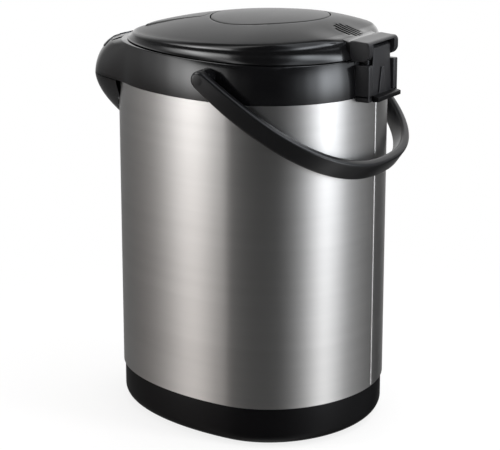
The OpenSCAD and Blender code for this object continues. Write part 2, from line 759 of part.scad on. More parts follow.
blade_count = 6;
module impeller() color("#f0efe9") translate([0, pump_y, pump_z + 3]) difference() {
  union() {
    cylinder(r = pump_r - 5, h = 3, $fn = 64);
    cylinder(r = 5, h = 7, $fn = 40);
    // blades lean back from the radius
    for (i = [0:blade_count - 1]) rotate(360 * i / blade_count) translate([4, -1.6, 2]) rotate(-18)
      cube([pump_r - 10.5, 1.6, 5]);
  }
  translate([0, 0, -1]) cylinder(r = axle_r + run_fit, h = 12, $fn = 32);
}

motor_r = 17;
motor_z = 8;
motor_h = 24;
shaft_r = 2.5;
shaft_h = 8;
magnet_z = motor_z + motor_h + 2.4;
module pump_motor() color("#8e9094") translate([0, pump_y, motor_z]) union() {
  cylinder(r = motor_r, h = motor_h, $fn = 64);
  cylinder(r = 6, h = motor_h + 2, $fn = 40);
  cylinder(r = shaft_r, h = motor_h + shaft_h, $fn = 40);
}
module drive_magnet() color("#5a5b5e") translate([0, pump_y, magnet_z]) difference() {
  cylinder(r = motor_r - 1, h = 11, $fn = 64);
  translate([0, 0, 7]) tube(motor_r - 3, 6, 0, 5);
  translate([0, 0, -1]) cylinder(r = shaft_r + run_fit, h = shaft_h, $fn = 40);
}

// From the pump's outlet up into the rise tube
module outlet_hose() color("#cfc9bd") {
  bend = 8;
  y0 = rise_y + bend;
  y1 = pump_y - pump_r;
  translate([0, y0, pump_out_z + bend]) rotate([-90, 0, -90]) quarter_tube(bend, tube_r + hose_t, tube_r);
  translate([0, y0, pump_out_z]) rotate([-90, 0, 0]) tube(tube_r + hose_t, tube_r, 0, y1 - y0);
  translate([0, rise_y, 0]) tube(tube_r + hose_t, tube_r, pump_out_z + bend, pump_out_z + bend + 10);
}
module rise_tube() color("#dfe8ec", 0.6)
  translate([0, rise_y, 0]) tube(tube_r, tube_r - 1, pump_out_z + 8, elbow_z);
module spout_elbow() color("#cfc9bd")
  translate([0, rise_y - elbow_bend, elbow_z]) rotate([90, 0, 90])
    rotate_extrude(angle = 180, $fn = 48) translate([elbow_bend, 0]) difference() {
      circle(r = tube_r, $fn = 32);
      circle(r = tube_r - 1.4, $fn = 32);
    }
module outlet_nozzle() color(black) translate([0, nozzle_y, 0])
  tube(tube_r + 1, tube_r - 1.4, collar_z - nozzle_drop, elbow_z);

board_y = 18;
board_z = 22;
board_w = 92;
board_d = 52;
board_edge = 4;          // from a pillar's axis to the board's edge
module board_places() {
  for (x = [-1, 1], y = [-1, 1])
    translate([x * (board_w / 2 - board_edge), board_y + y * (board_d / 2 - board_edge), 0]) children();
}
module power_board() color("#2f5b3c") translate([0, board_y, board_z]) union() {
  translate([-board_w / 2, -board_d / 2, 0]) cube([board_w, board_d, board_t]);
  translate([-38, -18, 1.5]) cube([22, 18, 16]);
  translate([-6, -16, 1.5]) cube([16, 14, 12]);
  for (x = [20, 32]) translate([x, 8, 1.5]) cylinder(r = 5, h = 14, $fn = 32);
}

// ---- lid ----
press_y = -14;
press_bore = press_r + 0.6;
vent_y = 63;
tray_in = 4.5;
tray_z = deck_z + 3;
cup_z = part_z + crease_h + 2.2 - press_travel;   // the well's wall guides the pressed plate
lever_y1 = press_y - press_bore - 3;
lever_y0 = lever_y1 - lever_len;
lever_hinge_y = lever_y1 - 3;
lever_hinge_z = part_z + crease_h + 6.7;
lever_barrel_r = 1.7;
lever_pin_r = 0.9;
lever_depth = 4.4;
lever_skin = 2.2;
function dome_top(y) =
  let (k = -y / (lid_front - crease_in))
  part_z + crease_h + dome_h * (1 - k * k) + dome_slope * y * k;
lever_heel = norm([lever_y1 - lever_hinge_y, dome_top(lever_y1) - lever_hinge_z]) + gap;

module press_cylinder(r, z0, z1) {
  translate([0, press_y, z0]) cylinder(r = r, h = z1 - z0, $fn = 96);
}
// Places a rod on the lever's axis, longer by a bit at each side
module lever_axis(more) {
  translate([-lever_half_w - more, lever_hinge_y, lever_hinge_z]) rotate([0, 90, 0]) children();
}
module lever_prism(grow) {
  r = 3 + grow;
  w = lever_half_w - 3;
  h = lever_len / 2 - 3;
  translate([0, (lever_y0 + lever_y1) / 2, part_z]) linear_extrude(40) union() {
    square([2 * w + 2 * r, 2 * h], center = true);
    square([2 * w, 2 * h + 2 * r], center = true);
    for (x = [-w, w], y = [-h, h]) translate([x, y]) circle(r = r, $fn = 32);
  }
}

// Block at the lid's rear: top plate and two cheeks round the hinge pin
swing_room = 1.2;        // the tongue swings out below the opened block by this much
module hinge_block() {
  top = hinge_z + 9;
  difference() {
    intersection() {
      translate([-hinge_half_w, 0, 0]) rotate([90, 0, 90]) linear_extrude(2 * hinge_half_w) union() {
        translate([hinge_y, hinge_z]) circle(r = hinge_rear, $fn = 64);
        polygon([[hinge_y - 20, hinge_z - hinge_rear], [hinge_y, hinge_z - hinge_rear],
          [hinge_y, hinge_z], [hinge_y + hinge_rear, hinge_z], [hinge_y + hinge_rear, top - 3],
          [hinge_y + hinge_rear - 0.9, top - 0.9], [hinge_y + hinge_rear - 3, top], [hinge_y - 20, top]]);
      }
      translate([0, hinge_y + 10, 0]) rotate([90, 0, 0]) linear_extrude(60) polygon([
        [-hinge_half_w, part_z - 30], [hinge_half_w, part_z - 30], [hinge_half_w, top - 3],
        [hinge_half_w - 0.9, top - 0.9], [hinge_half_w - 3, top], [3 - hinge_half_w, top],
        [0.9 - hinge_half_w, top - 0.9], [-hinge_half_w, top - 3]]);
    }
    translate([-inner_half_w, hinge_y - 8.6, part_z - 30])
      cube([2 * inner_half_w, 30, hinge_z + knuckle_r + swing_room - part_z + 30]);
  }
}

module lid_shell() color(gloss) difference() {
  union() {
    difference() {
      lid_form();
      difference() {
        lid_form(wall, 3);
        // thicker skin below the lever's pocket
        difference() {
          lever_prism(2);
          sunk_dome(lever_depth + 3);
        }
        lever_axis(2) cylinder(r = lever_heel + 1.5, h = 2 * lever_half_w + 4, $fn = 48);
        press_cylinder(press_bore + 2, cup_z, part_z + 60);
        translate([0, vent_y, part_z + 6]) cylinder(r = vent_r + 1.6, h = 40, $fn = 64);
      }
    }
    hinge_block();
  }
  press_cylinder(press_bore, part_z - 10, part_z + 60);
  // the vent's seat
  translate([0, vent_y, part_z - 10]) cylinder(r = vent_r - 1.2, h = 60, $fn = 64);
  difference() {
    translate([0, vent_y, part_z + 6]) cylinder(r = vent_r + 0.15, h = 40, $fn = 64);
    lid_form(3);
  }
  // the lever's pocket
  difference() {
    lever_prism(0.6);
    sunk_dome(lever_depth);
  }
  lever_axis(0) cylinder(r = lever_heel, h = 2 * lever_half_w, $fn = 48);
  lever_axis(3) cylinder(r = lever_pin_r, h = 2 * lever_half_w + 6, $fn = 32);
  // bores on the hinge pin
  translate([-hinge_half_w + 0.5, hinge_y, hinge_z]) rotate([0, 90, 0])
    cylinder(r = hinge_pin_r + run_fit, h = 2 * hinge_half_w - 1, $fn = 48);
}

module vent_grille() color(gloss) difference() {
  intersection() {
    lid_form(0.5);
    translate([0, vent_y, part_z + 6]) cylinder(r = vent_r, h = 40, $fn = 64);
  }
  lid_form(3);
  for (i = [-2:2]) {
    slot_l = 2 * sqrt(pow(vent_r - 1.5, 2) - pow(2 * slot_w * i, 2));
    translate([2 * slot_w * i - slot_w / 2, vent_y - slot_l / 2, part_z]) cube([slot_w, slot_l, 40]);
  }
}

module press_plate() color(gloss) difference() {
  intersection() {
    dome_form(0);
    press_cylinder(press_r, part_z + crease_h - 2, part_z + 60);
  }
  difference() {
    intersection() {
      dome_form(3);
      press_cylinder(press_r - 2.4, part_z, part_z + 60);
    }
    // pusher: rim over the bellows and a disc over the spring
    press_cylinder(spring_r + 3, bellows_z1, part_z + 60);
    translate([0, press_y, 0]) tube(bellows_r - 1, bellows_r - 7, bellows_z1, part_z + 60);
  }
}

module lid_lever() color(gloss)
  translate([0, lever_hinge_y, lever_hinge_z]) rotate([-1.4, 0, 0])
    translate([0, -lever_hinge_y, -lever_hinge_z]) difference() {
      union() {
        difference() {
          intersection() {
            dome_form(0);
            lever_prism(0);
          }
          sunk_dome(lever_skin);
        }
        lever_axis(-1) cylinder(r = lever_barrel_r, h = 2 * lever_half_w - 2, $fn = 40);
      }
      lever_axis(1) cylinder(r = lever_pin_r + run_fit, h = 2 * lever_half_w + 2, $fn = 32);
    }
module lever_pin() color(steel)
  lever_axis(3) cylinder(r = lever_pin_r, h = 2 * lever_half_w + 6, $fn = 32);

latch_w = 18;
latch_t = 3.5;
latch_out = 3.6;
latch_z = tray_z + 5;
module latch() color("#3a3a3d") {
  y0 = -(lid_front - tray_in) - latch_out;
  difference() {
    translate([-latch_w / 2, y0, latch_z]) cube([latch_w, 26, latch_t]);
    translate([-4, y0 + 12, latch_z - 1]) cube([8, 8, latch_t + 2]);
    // slope that lets the tooth ride in over the edge
    translate([-latch_w, y0, latch_z]) rotate([-35, 0, 0]) translate([0, -8, -8]) cube([2 * latch_w, 8, 8]);
  }
}

duct_y = vent_y - 4.5;
duct_r = 7;
duct_bore = 5;
tray_top = part_z + 6;
module lid_underside() color(black) difference() {
  union() {
    lid_recess(tray_in, tray_z, part_z - 2);
    intersection() {
      lid_recess(tray_in, part_z - 2.2, tray_top);
      lid_form(wall, 3);
    }
  }
  lid_recess(tray_in + 2, tray_z + wall, tray_top + 1);
  // room for the hinge block's foot
  translate([-hinge_half_w - 1.5, hinge_y - 21, post_top]) cube([2 * hinge_half_w + 3, 30, 40]);
  translate([0, duct_y, tray_z - 1]) cylinder(r = duct_bore, h = 10, $fn = 40);
  translate([-latch_w / 2 - 0.4, -lid_front - 10, latch_z - 0.4]) cube([latch_w + 0.8, 20, latch_t + 0.8]);
}

plug_r = pot_r - 7;
plug_z = deck_z - 10;
module inner_lid_plate() color(steel) difference() {
  translate([0, pot_y, plug_z]) difference() {
    rotate_extrude($fn = 96) polygon(concat([[0, 0]],
      [for (q = [0:22.5:90]) [plug_r - 6 + 6 * sin(q), 6 - 6 * cos(q)]],
      [[plug_r, tray_z - plug_z], [0, tray_z - plug_z]]));
    translate([0, 0, 1.2]) cylinder(r = plug_r - 6, h = 5, $fn = 96);
    translate([0, 0, 6]) cylinder(r = plug_r - 1.2, h = 10, $fn = 96);
  }
  translate([0, duct_y, plug_z - 1]) cylinder(r = duct_bore, h = tray_z - plug_z + 2, $fn = 40);
}
module lid_gasket() color("#d8d3c8") translate([0, pot_y, 0])
  tube(mouth_r + 0.5, plug_r + 0.1, deck_z + 1.1, tray_z);

module steam_duct() color("#d8d3c8") translate([0, duct_y, 0])
  tube(duct_r, duct_bore + 0.2, tray_z + wall, part_z + 11);

bellows_r = 36;
bellows_z0 = tray_z + wall;
bellows_z1 = part_z + crease_h + 7.5;
folds = 6;
module bellows() color(rubber) translate([0, press_y, bellows_z0]) {
  pitch = (bellows_z1 - bellows_z0) / folds;
  rotate_extrude($fn = 72) polygon(concat(
    [for (i = [0:2 * folds]) [bellows_r - (i % 2 == 0 ? 5 : 0), i * pitch / 2]],
    [for (i = [2 * folds:-1:0]) [bellows_r - (i % 2 == 0 ? 6.4 : 1.4), i * pitch / 2]]));
}

spring_r = 14;
spring_wire = 1.2;
spring_turns = 5;
module press_spring() color(steel) {
  n = 12 * spring_turns;
  h = bellows_z1 - bellows_z0 - 2 * spring_wire;
  loft_tube([for (i = [0:n]) let (a = 30 * i)
    [spring_r * cos(a), press_y + spring_r * sin(a), bellows_z0 + spring_wire + h * i / n]],
    spring_wire, 6);
}

// Round wire along a list of points that climbs round an upright axis
module loft_tube(path, r, sides) {
  last = len(path) - 1;
  axis = [0, press_y, 0];
  loft([for (i = [0:last])
    let (
      p = path[i],
      q = path[min(last, i + 1)] - path[max(0, i - 1)],
      dir = q / norm(q),
      out = (p - axis - [0, 0, p[2]]) / norm(p - axis - [0, 0, p[2]]),
      up = cross(dir, out))
    [for (k = [0:sides - 1]) let (t = 360 * k / sides) p + r * (cos(t) * out + sin(t) * up)]]);
}

// ---- lid detach lever ----
lever_plate_t = 2.6;
ledge_half_w = 23.6;
ledge_out = 6.5;
module detach_lever() color(gloss) difference() {
  union() {
    translate([-pillar_in + 0.5, hinge_y, hinge_z]) rotate([0, 90, 0])
      cylinder(r = knuckle_r, h = 2 * pillar_in - 1, $fn = 48);
    // neck and tapered tongue
    translate([0, hinge_y + knuckle_r - 0.2, 0]) rotate([90, 0, 0]) linear_extrude(lever_plate_t) polygon([
      [-pillar_in + 0.5, hinge_z], [-pillar_in + 0.5, post_top - 1], [-inner_half_w + 0.7, post_top - 14],
      [-inner_half_w + 0.7, collar_z - 3], [inner_half_w - 0.7, collar_z - 3],
      [inner_half_w - 0.7, post_top - 14], [pillar_in - 0.5, post_top - 1], [pillar_in - 0.5, hinge_z]]);
    // stiffening rib of the tongue
    translate([0, hinge_y + knuckle_r - 0.4, 0]) rotate([90, 0, 180]) linear_extrude(1.6) polygon([
      [-7, collar_z], [7, collar_z], [2, post_top - 4], [-2, post_top - 4]]);
    // ledge for the thumb
    translate([-ledge_half_w, 0, 0]) rotate([90, 0, 90]) linear_extrude(2 * ledge_half_w) polygon([
      [post_y + 0.5, collar_z - 3], [post_y + ledge_out, collar_z - 1.6],
      [post_y + ledge_out, collar_z + 0.6], [post_y + 0.5, collar_z + 2.4]]);
    translate([-inner_half_w + 0.7, hinge_y + knuckle_r - 2, collar_z - 3])
      cube([2 * inner_half_w - 1.4, post_y + 1 - hinge_y - knuckle_r + 2, 5.4]);
  }
  translate([-pillar_in - 1, hinge_y, hinge_z]) rotate([0, 90, 0])
    cylinder(r = hinge_pin_r + run_fit, h = 2 * pillar_in + 2, $fn = 48);
}

// ---- bail ----
bail_n = 36;
bail_power = 2.6;
function bail_pt(t) = [
  bail_half_w * sign(cos(t)) * pow(abs(cos(t)), 2 / bail_power),
  bail_reach * pow(max(0, sin(t)), 2 / bail_power)];
function bail_out(t) =
  let (d = bail_pt(min(180, t + 0.5)) - bail_pt(max(0, t - 0.5)))
  [d[1], -d[0]] / norm(d);
// Section of the band: a rounded bar, a little narrower at the pivots
function bail_section(t) =
  let (h = bail_band_h * (0.86 + 0.14 * sin(t)) / 2, w = bail_band_t / 2, r = 2.6)
  [for (c = [[1, 1, 0], [-1, 1, 90], [-1, -1, 180], [1, -1, 270]], q = [0, 45, 90])
    [c[0] * (w - r) + r * cos(c[2] + q), c[1] * (h - r) + r * sin(c[2] + q)]];
function bail_ring(t) =
  let (p = bail_pt(t), o = bail_out(t))
  [for (s = bail_section(t)) [p[0] - o[0] * s[0], p[1] - o[1] * s[0], s[1]]];

module bail() color(black)
  translate([0, bail_y, bail_z]) rotate([-bail_rest, 0, 0]) difference() {
    union() {
      loft([for (i = [0:bail_n]) bail_ring(180 * i / bail_n)]);
      for (s = [-1, 1]) rotate([0, 90 * s, 0])
        translate([0, 0, bail_half_w - bail_band_t / 2]) rotate_extrude($fn = 64) polygon([
          [0, 0], [bail_band_h * 0.43 - 0.8, 0], [bail_band_h * 0.43, 0.8],
          [bail_band_h * 0.43, bail_band_t - 3], [bail_band_h * 0.43 - 1, bail_band_t - 1],
          [bail_band_h * 0.43 - 3, bail_band_t], [0, bail_band_t]]);
    }
    for (s = [-1, 1]) rotate([0, 90 * s, 0])
      translate([0, 0, bail_half_w - bail_band_t])
        cylinder(r = bail_pin_r + run_fit, h = bail_band_t + 2.5, $fn = 48);
  }

swivel_base();
swivel_feet();
base_shell();
bottom_cover();
bottom_screws();
body_wrap();
collar();
spout_cover();
control_panel();
display_window();
indicator_lamps();
dispense_button();
unlock_button();
reboil_button();
keepwarm_button();
timer_button();
gauge_window();
power_inlet();
inner_pot();
pot_gasket();
heat_shield();
heater_plate();
band_heater();
thermostat();
pump_housing();
impeller();
drive_magnet();
pump_motor();
inlet_hose();
outlet_hose();
rise_tube();
spout_elbow();
outlet_nozzle();
power_board();
control_board();
lid_shell();
lid_underside();
inner_lid_plate();
lid_gasket();
steam_duct();
vent_grille();
press_plate();
bellows();
press_spring();
lid_lever();
lever_pin();
latch();
hinge_pin();
detach_lever();
bail();
bail_pins();
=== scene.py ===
# %% [markdown]
# # An electric thermo pot
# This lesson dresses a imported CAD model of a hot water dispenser. The CAD model is the frame:
# it fixes every size and every joint, and nothing here may change them. What is added is the
# look, that is finer surfaces where the light shows facets, and a finish for every piece.

import json
import math

import bmesh
import bpy
import numpy as np
from mathutils import Matrix, Vector


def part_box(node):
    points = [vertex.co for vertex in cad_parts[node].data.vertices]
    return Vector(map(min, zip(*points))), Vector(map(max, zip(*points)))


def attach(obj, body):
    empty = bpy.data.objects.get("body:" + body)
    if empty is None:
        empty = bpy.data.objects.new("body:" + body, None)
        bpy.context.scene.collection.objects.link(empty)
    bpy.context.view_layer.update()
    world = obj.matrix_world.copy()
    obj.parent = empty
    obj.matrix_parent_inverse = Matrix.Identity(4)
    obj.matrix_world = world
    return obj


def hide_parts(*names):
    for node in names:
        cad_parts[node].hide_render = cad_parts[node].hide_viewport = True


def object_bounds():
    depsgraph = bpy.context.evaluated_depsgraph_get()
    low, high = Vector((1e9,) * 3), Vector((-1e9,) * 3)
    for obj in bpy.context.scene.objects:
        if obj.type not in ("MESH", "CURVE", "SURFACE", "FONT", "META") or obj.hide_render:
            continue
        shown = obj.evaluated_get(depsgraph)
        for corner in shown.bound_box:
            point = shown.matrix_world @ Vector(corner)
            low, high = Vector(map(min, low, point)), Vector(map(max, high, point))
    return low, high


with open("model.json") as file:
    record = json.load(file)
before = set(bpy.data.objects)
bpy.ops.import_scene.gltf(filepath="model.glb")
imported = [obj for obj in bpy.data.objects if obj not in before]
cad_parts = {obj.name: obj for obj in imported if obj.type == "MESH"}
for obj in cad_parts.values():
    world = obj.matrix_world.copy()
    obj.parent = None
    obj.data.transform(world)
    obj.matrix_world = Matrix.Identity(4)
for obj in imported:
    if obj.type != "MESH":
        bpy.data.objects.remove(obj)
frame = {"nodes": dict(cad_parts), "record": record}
cad_box = [[float(v) for v in corner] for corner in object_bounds()]
MM = 0.001
print("CAD box in metres:", cad_box)

# %% [markdown]
# ## The camera
# The photograph was fitted with a perspective camera: it looks down by 15 degrees from the
# side and rear, through a long lens. The camera only needs its place, the point that it
# looks at and the lens, so a tracking quaternion is simpler than three angles.

# %% Camera
EYE = Vector((1.378575, 0.761161, 0.603034))
TARGET = Vector((0, -0.03476, 0.17233))
LENS = 129.21

camera_data = bpy.data.cameras.new("photo_camera")
camera_data.lens = LENS
camera_data.sensor_width = 36
camera_data.clip_end = 50
camera = bpy.data.objects.new("photo_camera", camera_data)
camera.location = EYE
camera.rotation_euler = (TARGET - EYE).to_track_quat("-Z", "Y").to_euler()
bpy.context.scene.collection.objects.link(camera)
bpy.context.scene.camera = camera
bpy.context.scene.view_settings.view_transform = "Standard"
print("camera distance in metres:", round((TARGET - EYE).length, 4))

# %% [markdown]
# ## Small tools for meshes
# Most pieces of this pot are lofts: a stack of rings that all have the same number of points.
# One helper turns such rings into a mesh. A ring of a single point closes an end as a pole,
# and an open end gets a flat cap.

# %% Loft helper
def mesh_object(name, points, faces):
    mesh = bpy.data.meshes.new(name)
    mesh.from_pydata([tuple(p) for p in points], [], [tuple(f) for f in faces])
    mesh.validate()
    piece = bpy.data.objects.new(name, mesh)
    bpy.context.scene.collection.objects.link(piece)
    return piece


def loft(name, rings, start_cap=True, end_cap=True):
    """Skin over rings that run anticlockwise seen from +Z and climb from first to last."""
    points, starts, faces = [], [], []
    for one in rings:
        starts.append(len(points))
        points.extend(one)
    for j in range(len(rings) - 1):
        low, high = rings[j], rings[j + 1]
        n = max(len(low), len(high))
        for i in range(n):
            k = (i + 1) % n
            a, b = starts[j] + i, starts[j] + k
            c, d = starts[j + 1] + k, starts[j + 1] + i
            if len(low) == 1:
                faces.append((starts[j], c, d))
            elif len(high) == 1:
                faces.append((a, b, starts[j + 1]))
            else:
                faces.append((a, b, c, d))
    if start_cap and len(rings[0]) > 1:
        faces.append(range(len(rings[0]) - 1, -1, -1))
    if end_cap and len(rings[-1]) > 1:
        faces.append(range(starts[-1], starts[-1] + len(rings[-1])))
    return mesh_object(name, points, faces)


# %% [markdown]
# Round pieces are turned round an axis like on a lathe. The profile is a list of radius and
# height, and the axis may point anywhere, so the same tool makes knobs, pins and knuckles.

# %% Lathe helper
def lathe(name, profile, centre=(0, 0, 0), axis=(0, 0, 1), steps=96):
    turn = Vector((0, 0, 1)).rotation_difference(Vector(axis)).to_matrix()
    rings = []
    for radius, height in profile:
        if radius == 0:
            rings.append([turn @ Vector((0, 0, height)) + Vector(centre)])
            continue
        ring = []
        for i in range(steps):
            t = 2 * math.pi * i / steps
            p = Vector((radius * math.cos(t), radius * math.sin(t), height))
            ring.append(turn @ p + Vector(centre))
        rings.append(ring)
    return loft(name, rings)


# %% [markdown]
# Blocks, plates and ribs have softened edges, because a moulded edge always catches a thin
# line of light. A box or an extruded outline gets its bevel from bmesh, while it is still clean.

# %% Soft block and plate helpers
BEVEL_ANGLE = math.radians(30)      # edges that turn by more than this get the bevel
SHARP_ANGLE = math.radians(32)      # edges that turn by more than this stay sharp in the shading


def soften(piece, radius):
    bm = bmesh.new()
    bm.from_mesh(piece.data)
    sharp = [e for e in bm.edges if len(e.link_faces) == 2 and e.calc_face_angle() > BEVEL_ANGLE]
    bmesh.ops.bevel(bm, geom=sharp, offset=radius, segments=3, profile=0.5,
                    affect="EDGES", clamp_overlap=True)
    bm.to_mesh(piece.data)
    bm.free()
    return piece


def plate(name, outline, axis, low, high, radius=0.0):
    """Outline in the two other axes, drawn out along one axis (0, 1 or 2)."""
    others = [i for i in range(3) if i != axis]
    rings = []
    for level in (low, high):
        ring = []
        for p in outline:
            q = [0.0, 0.0, 0.0]
            q[others[0]], q[others[1]], q[axis] = p[0], p[1], level
            ring.append(Vector(q))
        rings.append(ring)
    piece = loft(name, rings)
    outward(piece)
    return soften(piece, radius) if radius else piece


def outward(piece):
    bm = bmesh.new()
    bm.from_mesh(piece.data)
    bmesh.ops.recalc_face_normals(bm, faces=bm.faces)
    bm.to_mesh(piece.data)
    bm.free()


def block(name, low, high, radius=0.0):
    outline = [(low[0], low[1]), (high[0], low[1]), (high[0], high[1]), (low[0], high[1])]
    return plate(name, outline, 2, low[2], high[2], radius)


# %% [markdown]
# Holes and pockets are cut with the Boolean modifier. Its result is taken as a plain mesh and
# the modifier is dropped, so that the piece keeps nothing live. Parts that only touch are
# joined as loose shells in one mesh.

# %% Cut and join helpers
def bake(piece):
    depsgraph = bpy.context.evaluated_depsgraph_get()
    mesh = bpy.data.meshes.new_from_object(piece.evaluated_get(depsgraph))
    piece.modifiers.clear()
    piece.data = mesh
    return piece


def combine(piece, cutter):
    """Cut one piece with another, which is used up."""
    modifier = piece.modifiers.new("combine", "BOOLEAN")
    modifier.operation = "DIFFERENCE"
    modifier.solver = "MANIFOLD"
    modifier.object = cutter
    before = len(piece.data.polygons)
    bake(piece)
    if len(piece.data.polygons) == 0:
        raise RuntimeError(f"{piece.name}: nothing left after {cutter.name}, from {before} faces")
    bpy.data.objects.remove(cutter)
    return piece


def join(piece, *others):
    bm = bmesh.new()
    bm.from_mesh(piece.data)
    for other in others:
        bm.from_mesh(other.data)
        bpy.data.objects.remove(other)
    bm.to_mesh(piece.data)
    bm.free()
    return piece


# %% Finish helper
def done(piece, body, material, nodes):
    mesh = piece.data
    mesh.materials.clear()
    mesh.materials.append(material)
    mesh.polygons.foreach_set("material_index", [0] * len(mesh.polygons))
    mesh.shade_smooth()
    mesh.set_sharp_from_angle(angle=SHARP_ANGLE)
    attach(piece, body)
    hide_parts(*nodes)
    print(f"{piece.name}: {len(mesh.polygons)} faces on {body}")
    return piece


# %% [markdown]
# Some mouldings carry a second finish on a few faces, for example painted shade on the walls inside a slot.
# It is a second material slot on the same mesh, given to the faces that pass a test.

# %% Second finish
def second_finish(piece, material, test):
    piece.data.materials.append(material)
    chosen = [face for face in piece.data.polygons if test(face.center, face.normal)]
    for face in chosen:
        face.material_index = 1
    print(f"{piece.name}: {len(chosen)} faces in {material.name}")


# %% [markdown]
# ## The studio
# The pot stands on a plain white table in front of white. Steel and gloss black have no look
# of their own: they show what stands round them. A product photographer therefore sets tall
# soft lamps where the highlights should be and grey cards everywhere else. The cards here are
# a wide dome that only mirror rays can see. The camera looks past it at the white.

# %% Shader tools
def new_material(name):
    material = bpy.data.materials.new(name)
    material.use_nodes = True
    return material, material.node_tree


def set_sockets(node, **values):
    for key, value in values.items():
        colour = isinstance(value, tuple) and len(value) == 3
        node.inputs[key.replace("_", " ")].default_value = (*value, 1.0) if colour else value


def feed(tree, socket, value):
    """Link a socket to another one or give it a constant; None leaves it as it is."""
    if isinstance(value, bpy.types.NodeSocket):
        tree.links.new(value, socket)
    elif isinstance(value, tuple):
        socket.default_value = (*value, 1)
    elif value is not None:
        socket.default_value = value


def maths(tree, operation, *values):
    node = tree.nodes.new("ShaderNodeMath")
    node.operation = operation
    for socket, value in zip(node.inputs, values):
        feed(tree, socket, value)
    return node.outputs[0]


# %% [markdown]
# Two nodes are set up again and again: one that carries a value from one range to another, and
# one that mixes two values or colours by a factor.

# %% Range and mix tools
def ranged(tree, value, from_min, from_max, to_min=0.0, to_max=1.0, kind="LINEAR"):
    node = tree.nodes.new("ShaderNodeMapRange")
    node.interpolation_type = kind
    set_sockets(node, From_Min=from_min, From_Max=from_max, To_Min=to_min, To_Max=to_max)
    tree.links.new(value, node.inputs["Value"])
    return node.outputs["Result"]


def mixed(tree, kind, a, b, factor):
    """Mix of two values or colours; each may be a constant or a socket."""
    node = tree.nodes.new("ShaderNodeMix")
    node.data_type = kind
    sockets = {socket.name: socket for socket in node.inputs if socket.enabled}
    for label, value in (("A", a), ("B", b), ("Factor", factor)):
        feed(tree, sockets[label], value)
    return [socket for socket in node.outputs if socket.enabled][0]


# %% [markdown]
# Three more tools deal with places: where a point lies on its object, a vector taken apart
# into its three axes, and three axes put together again.

# %% Place tools
def object_place(tree):
    return tree.nodes.new("ShaderNodeTexCoord").outputs["Object"]


def xyz(tree, vector):
    split = tree.nodes.new("ShaderNodeSeparateXYZ")
    tree.links.new(vector, split.inputs[0])
    return [split.outputs[axis] for axis in "XYZ"]


def from_xyz(tree, x=None, y=None, z=None):
    together = tree.nodes.new("ShaderNodeCombineXYZ")
    for socket, value in zip(together.inputs, (x, y, z)):
        feed(tree, socket, value)
    return together.outputs[0]


# %% [markdown]
# The camera and the mirrors see the world as plain white, while the light that it sheds on
# the pot is weaker. The table is a pale floor, and round the pot it turns white for the
# camera, so that its far edge can't be seen and the soft shadow below the pot stays.

# %% Floor and world
def sees_white(tree):
    """1 for the rays that should see plain white: camera, mirror and glass rays."""
    path = tree.nodes.new("ShaderNodeLightPath").outputs
    mirror = maths(tree, "MAXIMUM", path["Is Camera Ray"], path["Is Glossy Ray"])
    return maths(tree, "MAXIMUM", mirror, path["Is Transmission Ray"])


WORLD_LIGHT = 0.62
world = bpy.data.worlds.new("white_studio")
bpy.context.scene.world = world
world.use_nodes = True
tree = world.node_tree
world_colour = mixed(tree, "RGBA", (WORLD_LIGHT,) * 3, (1, 1, 1), sees_white(tree))
tree.links.new(world_colour, tree.nodes["Background"].inputs["Color"])

FLOOR_SIZE = 6.0
WHITE_NEAR, WHITE_FAR = 0.80, 1.0      # share of plain white beside the pot and far from it
SHADOW_FROM, SHADOW_TO = 0.14, 0.55    # metres from the middle
corners = [(x * FLOOR_SIZE, y * FLOOR_SIZE, 0) for x, y in ((-1, -1), (1, -1), (1, 1), (-1, 1))]
floor = mesh_object("table", corners, [(0, 1, 2, 3)])
floor_paint, tree = new_material("table_white")
table_top = tree.nodes["Principled BSDF"]
set_sockets(table_top, Base_Color=(0.93, 0.93, 0.93), Roughness=0.7, Specular_IOR_Level=0.2)
away = tree.nodes.new("ShaderNodeVectorMath")
away.operation = "LENGTH"
tree.links.new(object_place(tree), away.inputs[0])
whiteness = ranged(tree, away.outputs["Value"], SHADOW_FROM, SHADOW_TO, WHITE_NEAR, WHITE_FAR,
                   "SMOOTHSTEP")
camera_ray = tree.nodes.new("ShaderNodeLightPath").outputs["Is Camera Ray"]
two_shaders = tree.nodes.new("ShaderNodeMixShader")
tree.links.new(maths(tree, "MULTIPLY", whiteness, camera_ray), two_shaders.inputs[0])
tree.links.new(table_top.outputs[0], two_shaders.inputs[1])
tree.links.new(tree.nodes.new("ShaderNodeEmission").outputs[0], two_shaders.inputs[2])
tree.links.new(two_shaders.outputs[0], tree.nodes["Material Output"].inputs["Surface"])
floor.data.materials.append(floor_paint)
floor.visible_glossy = False

# %% [markdown]
# The cards' brightness follows the compass angle, and it differs with height. An upright wall
# seen from above mirrors what is below the horizon, and the leaning collar what is just above
# it. The lid's crease and dome mirror the next higher part, and the foot of the lid's side
# band the highest. So there are four rows of stops, each a colour ramp over the compass angle,
# and the height blends from one to the next. The bright stops are the two tall lamps of the
# set, one a little warm and one a little cool.

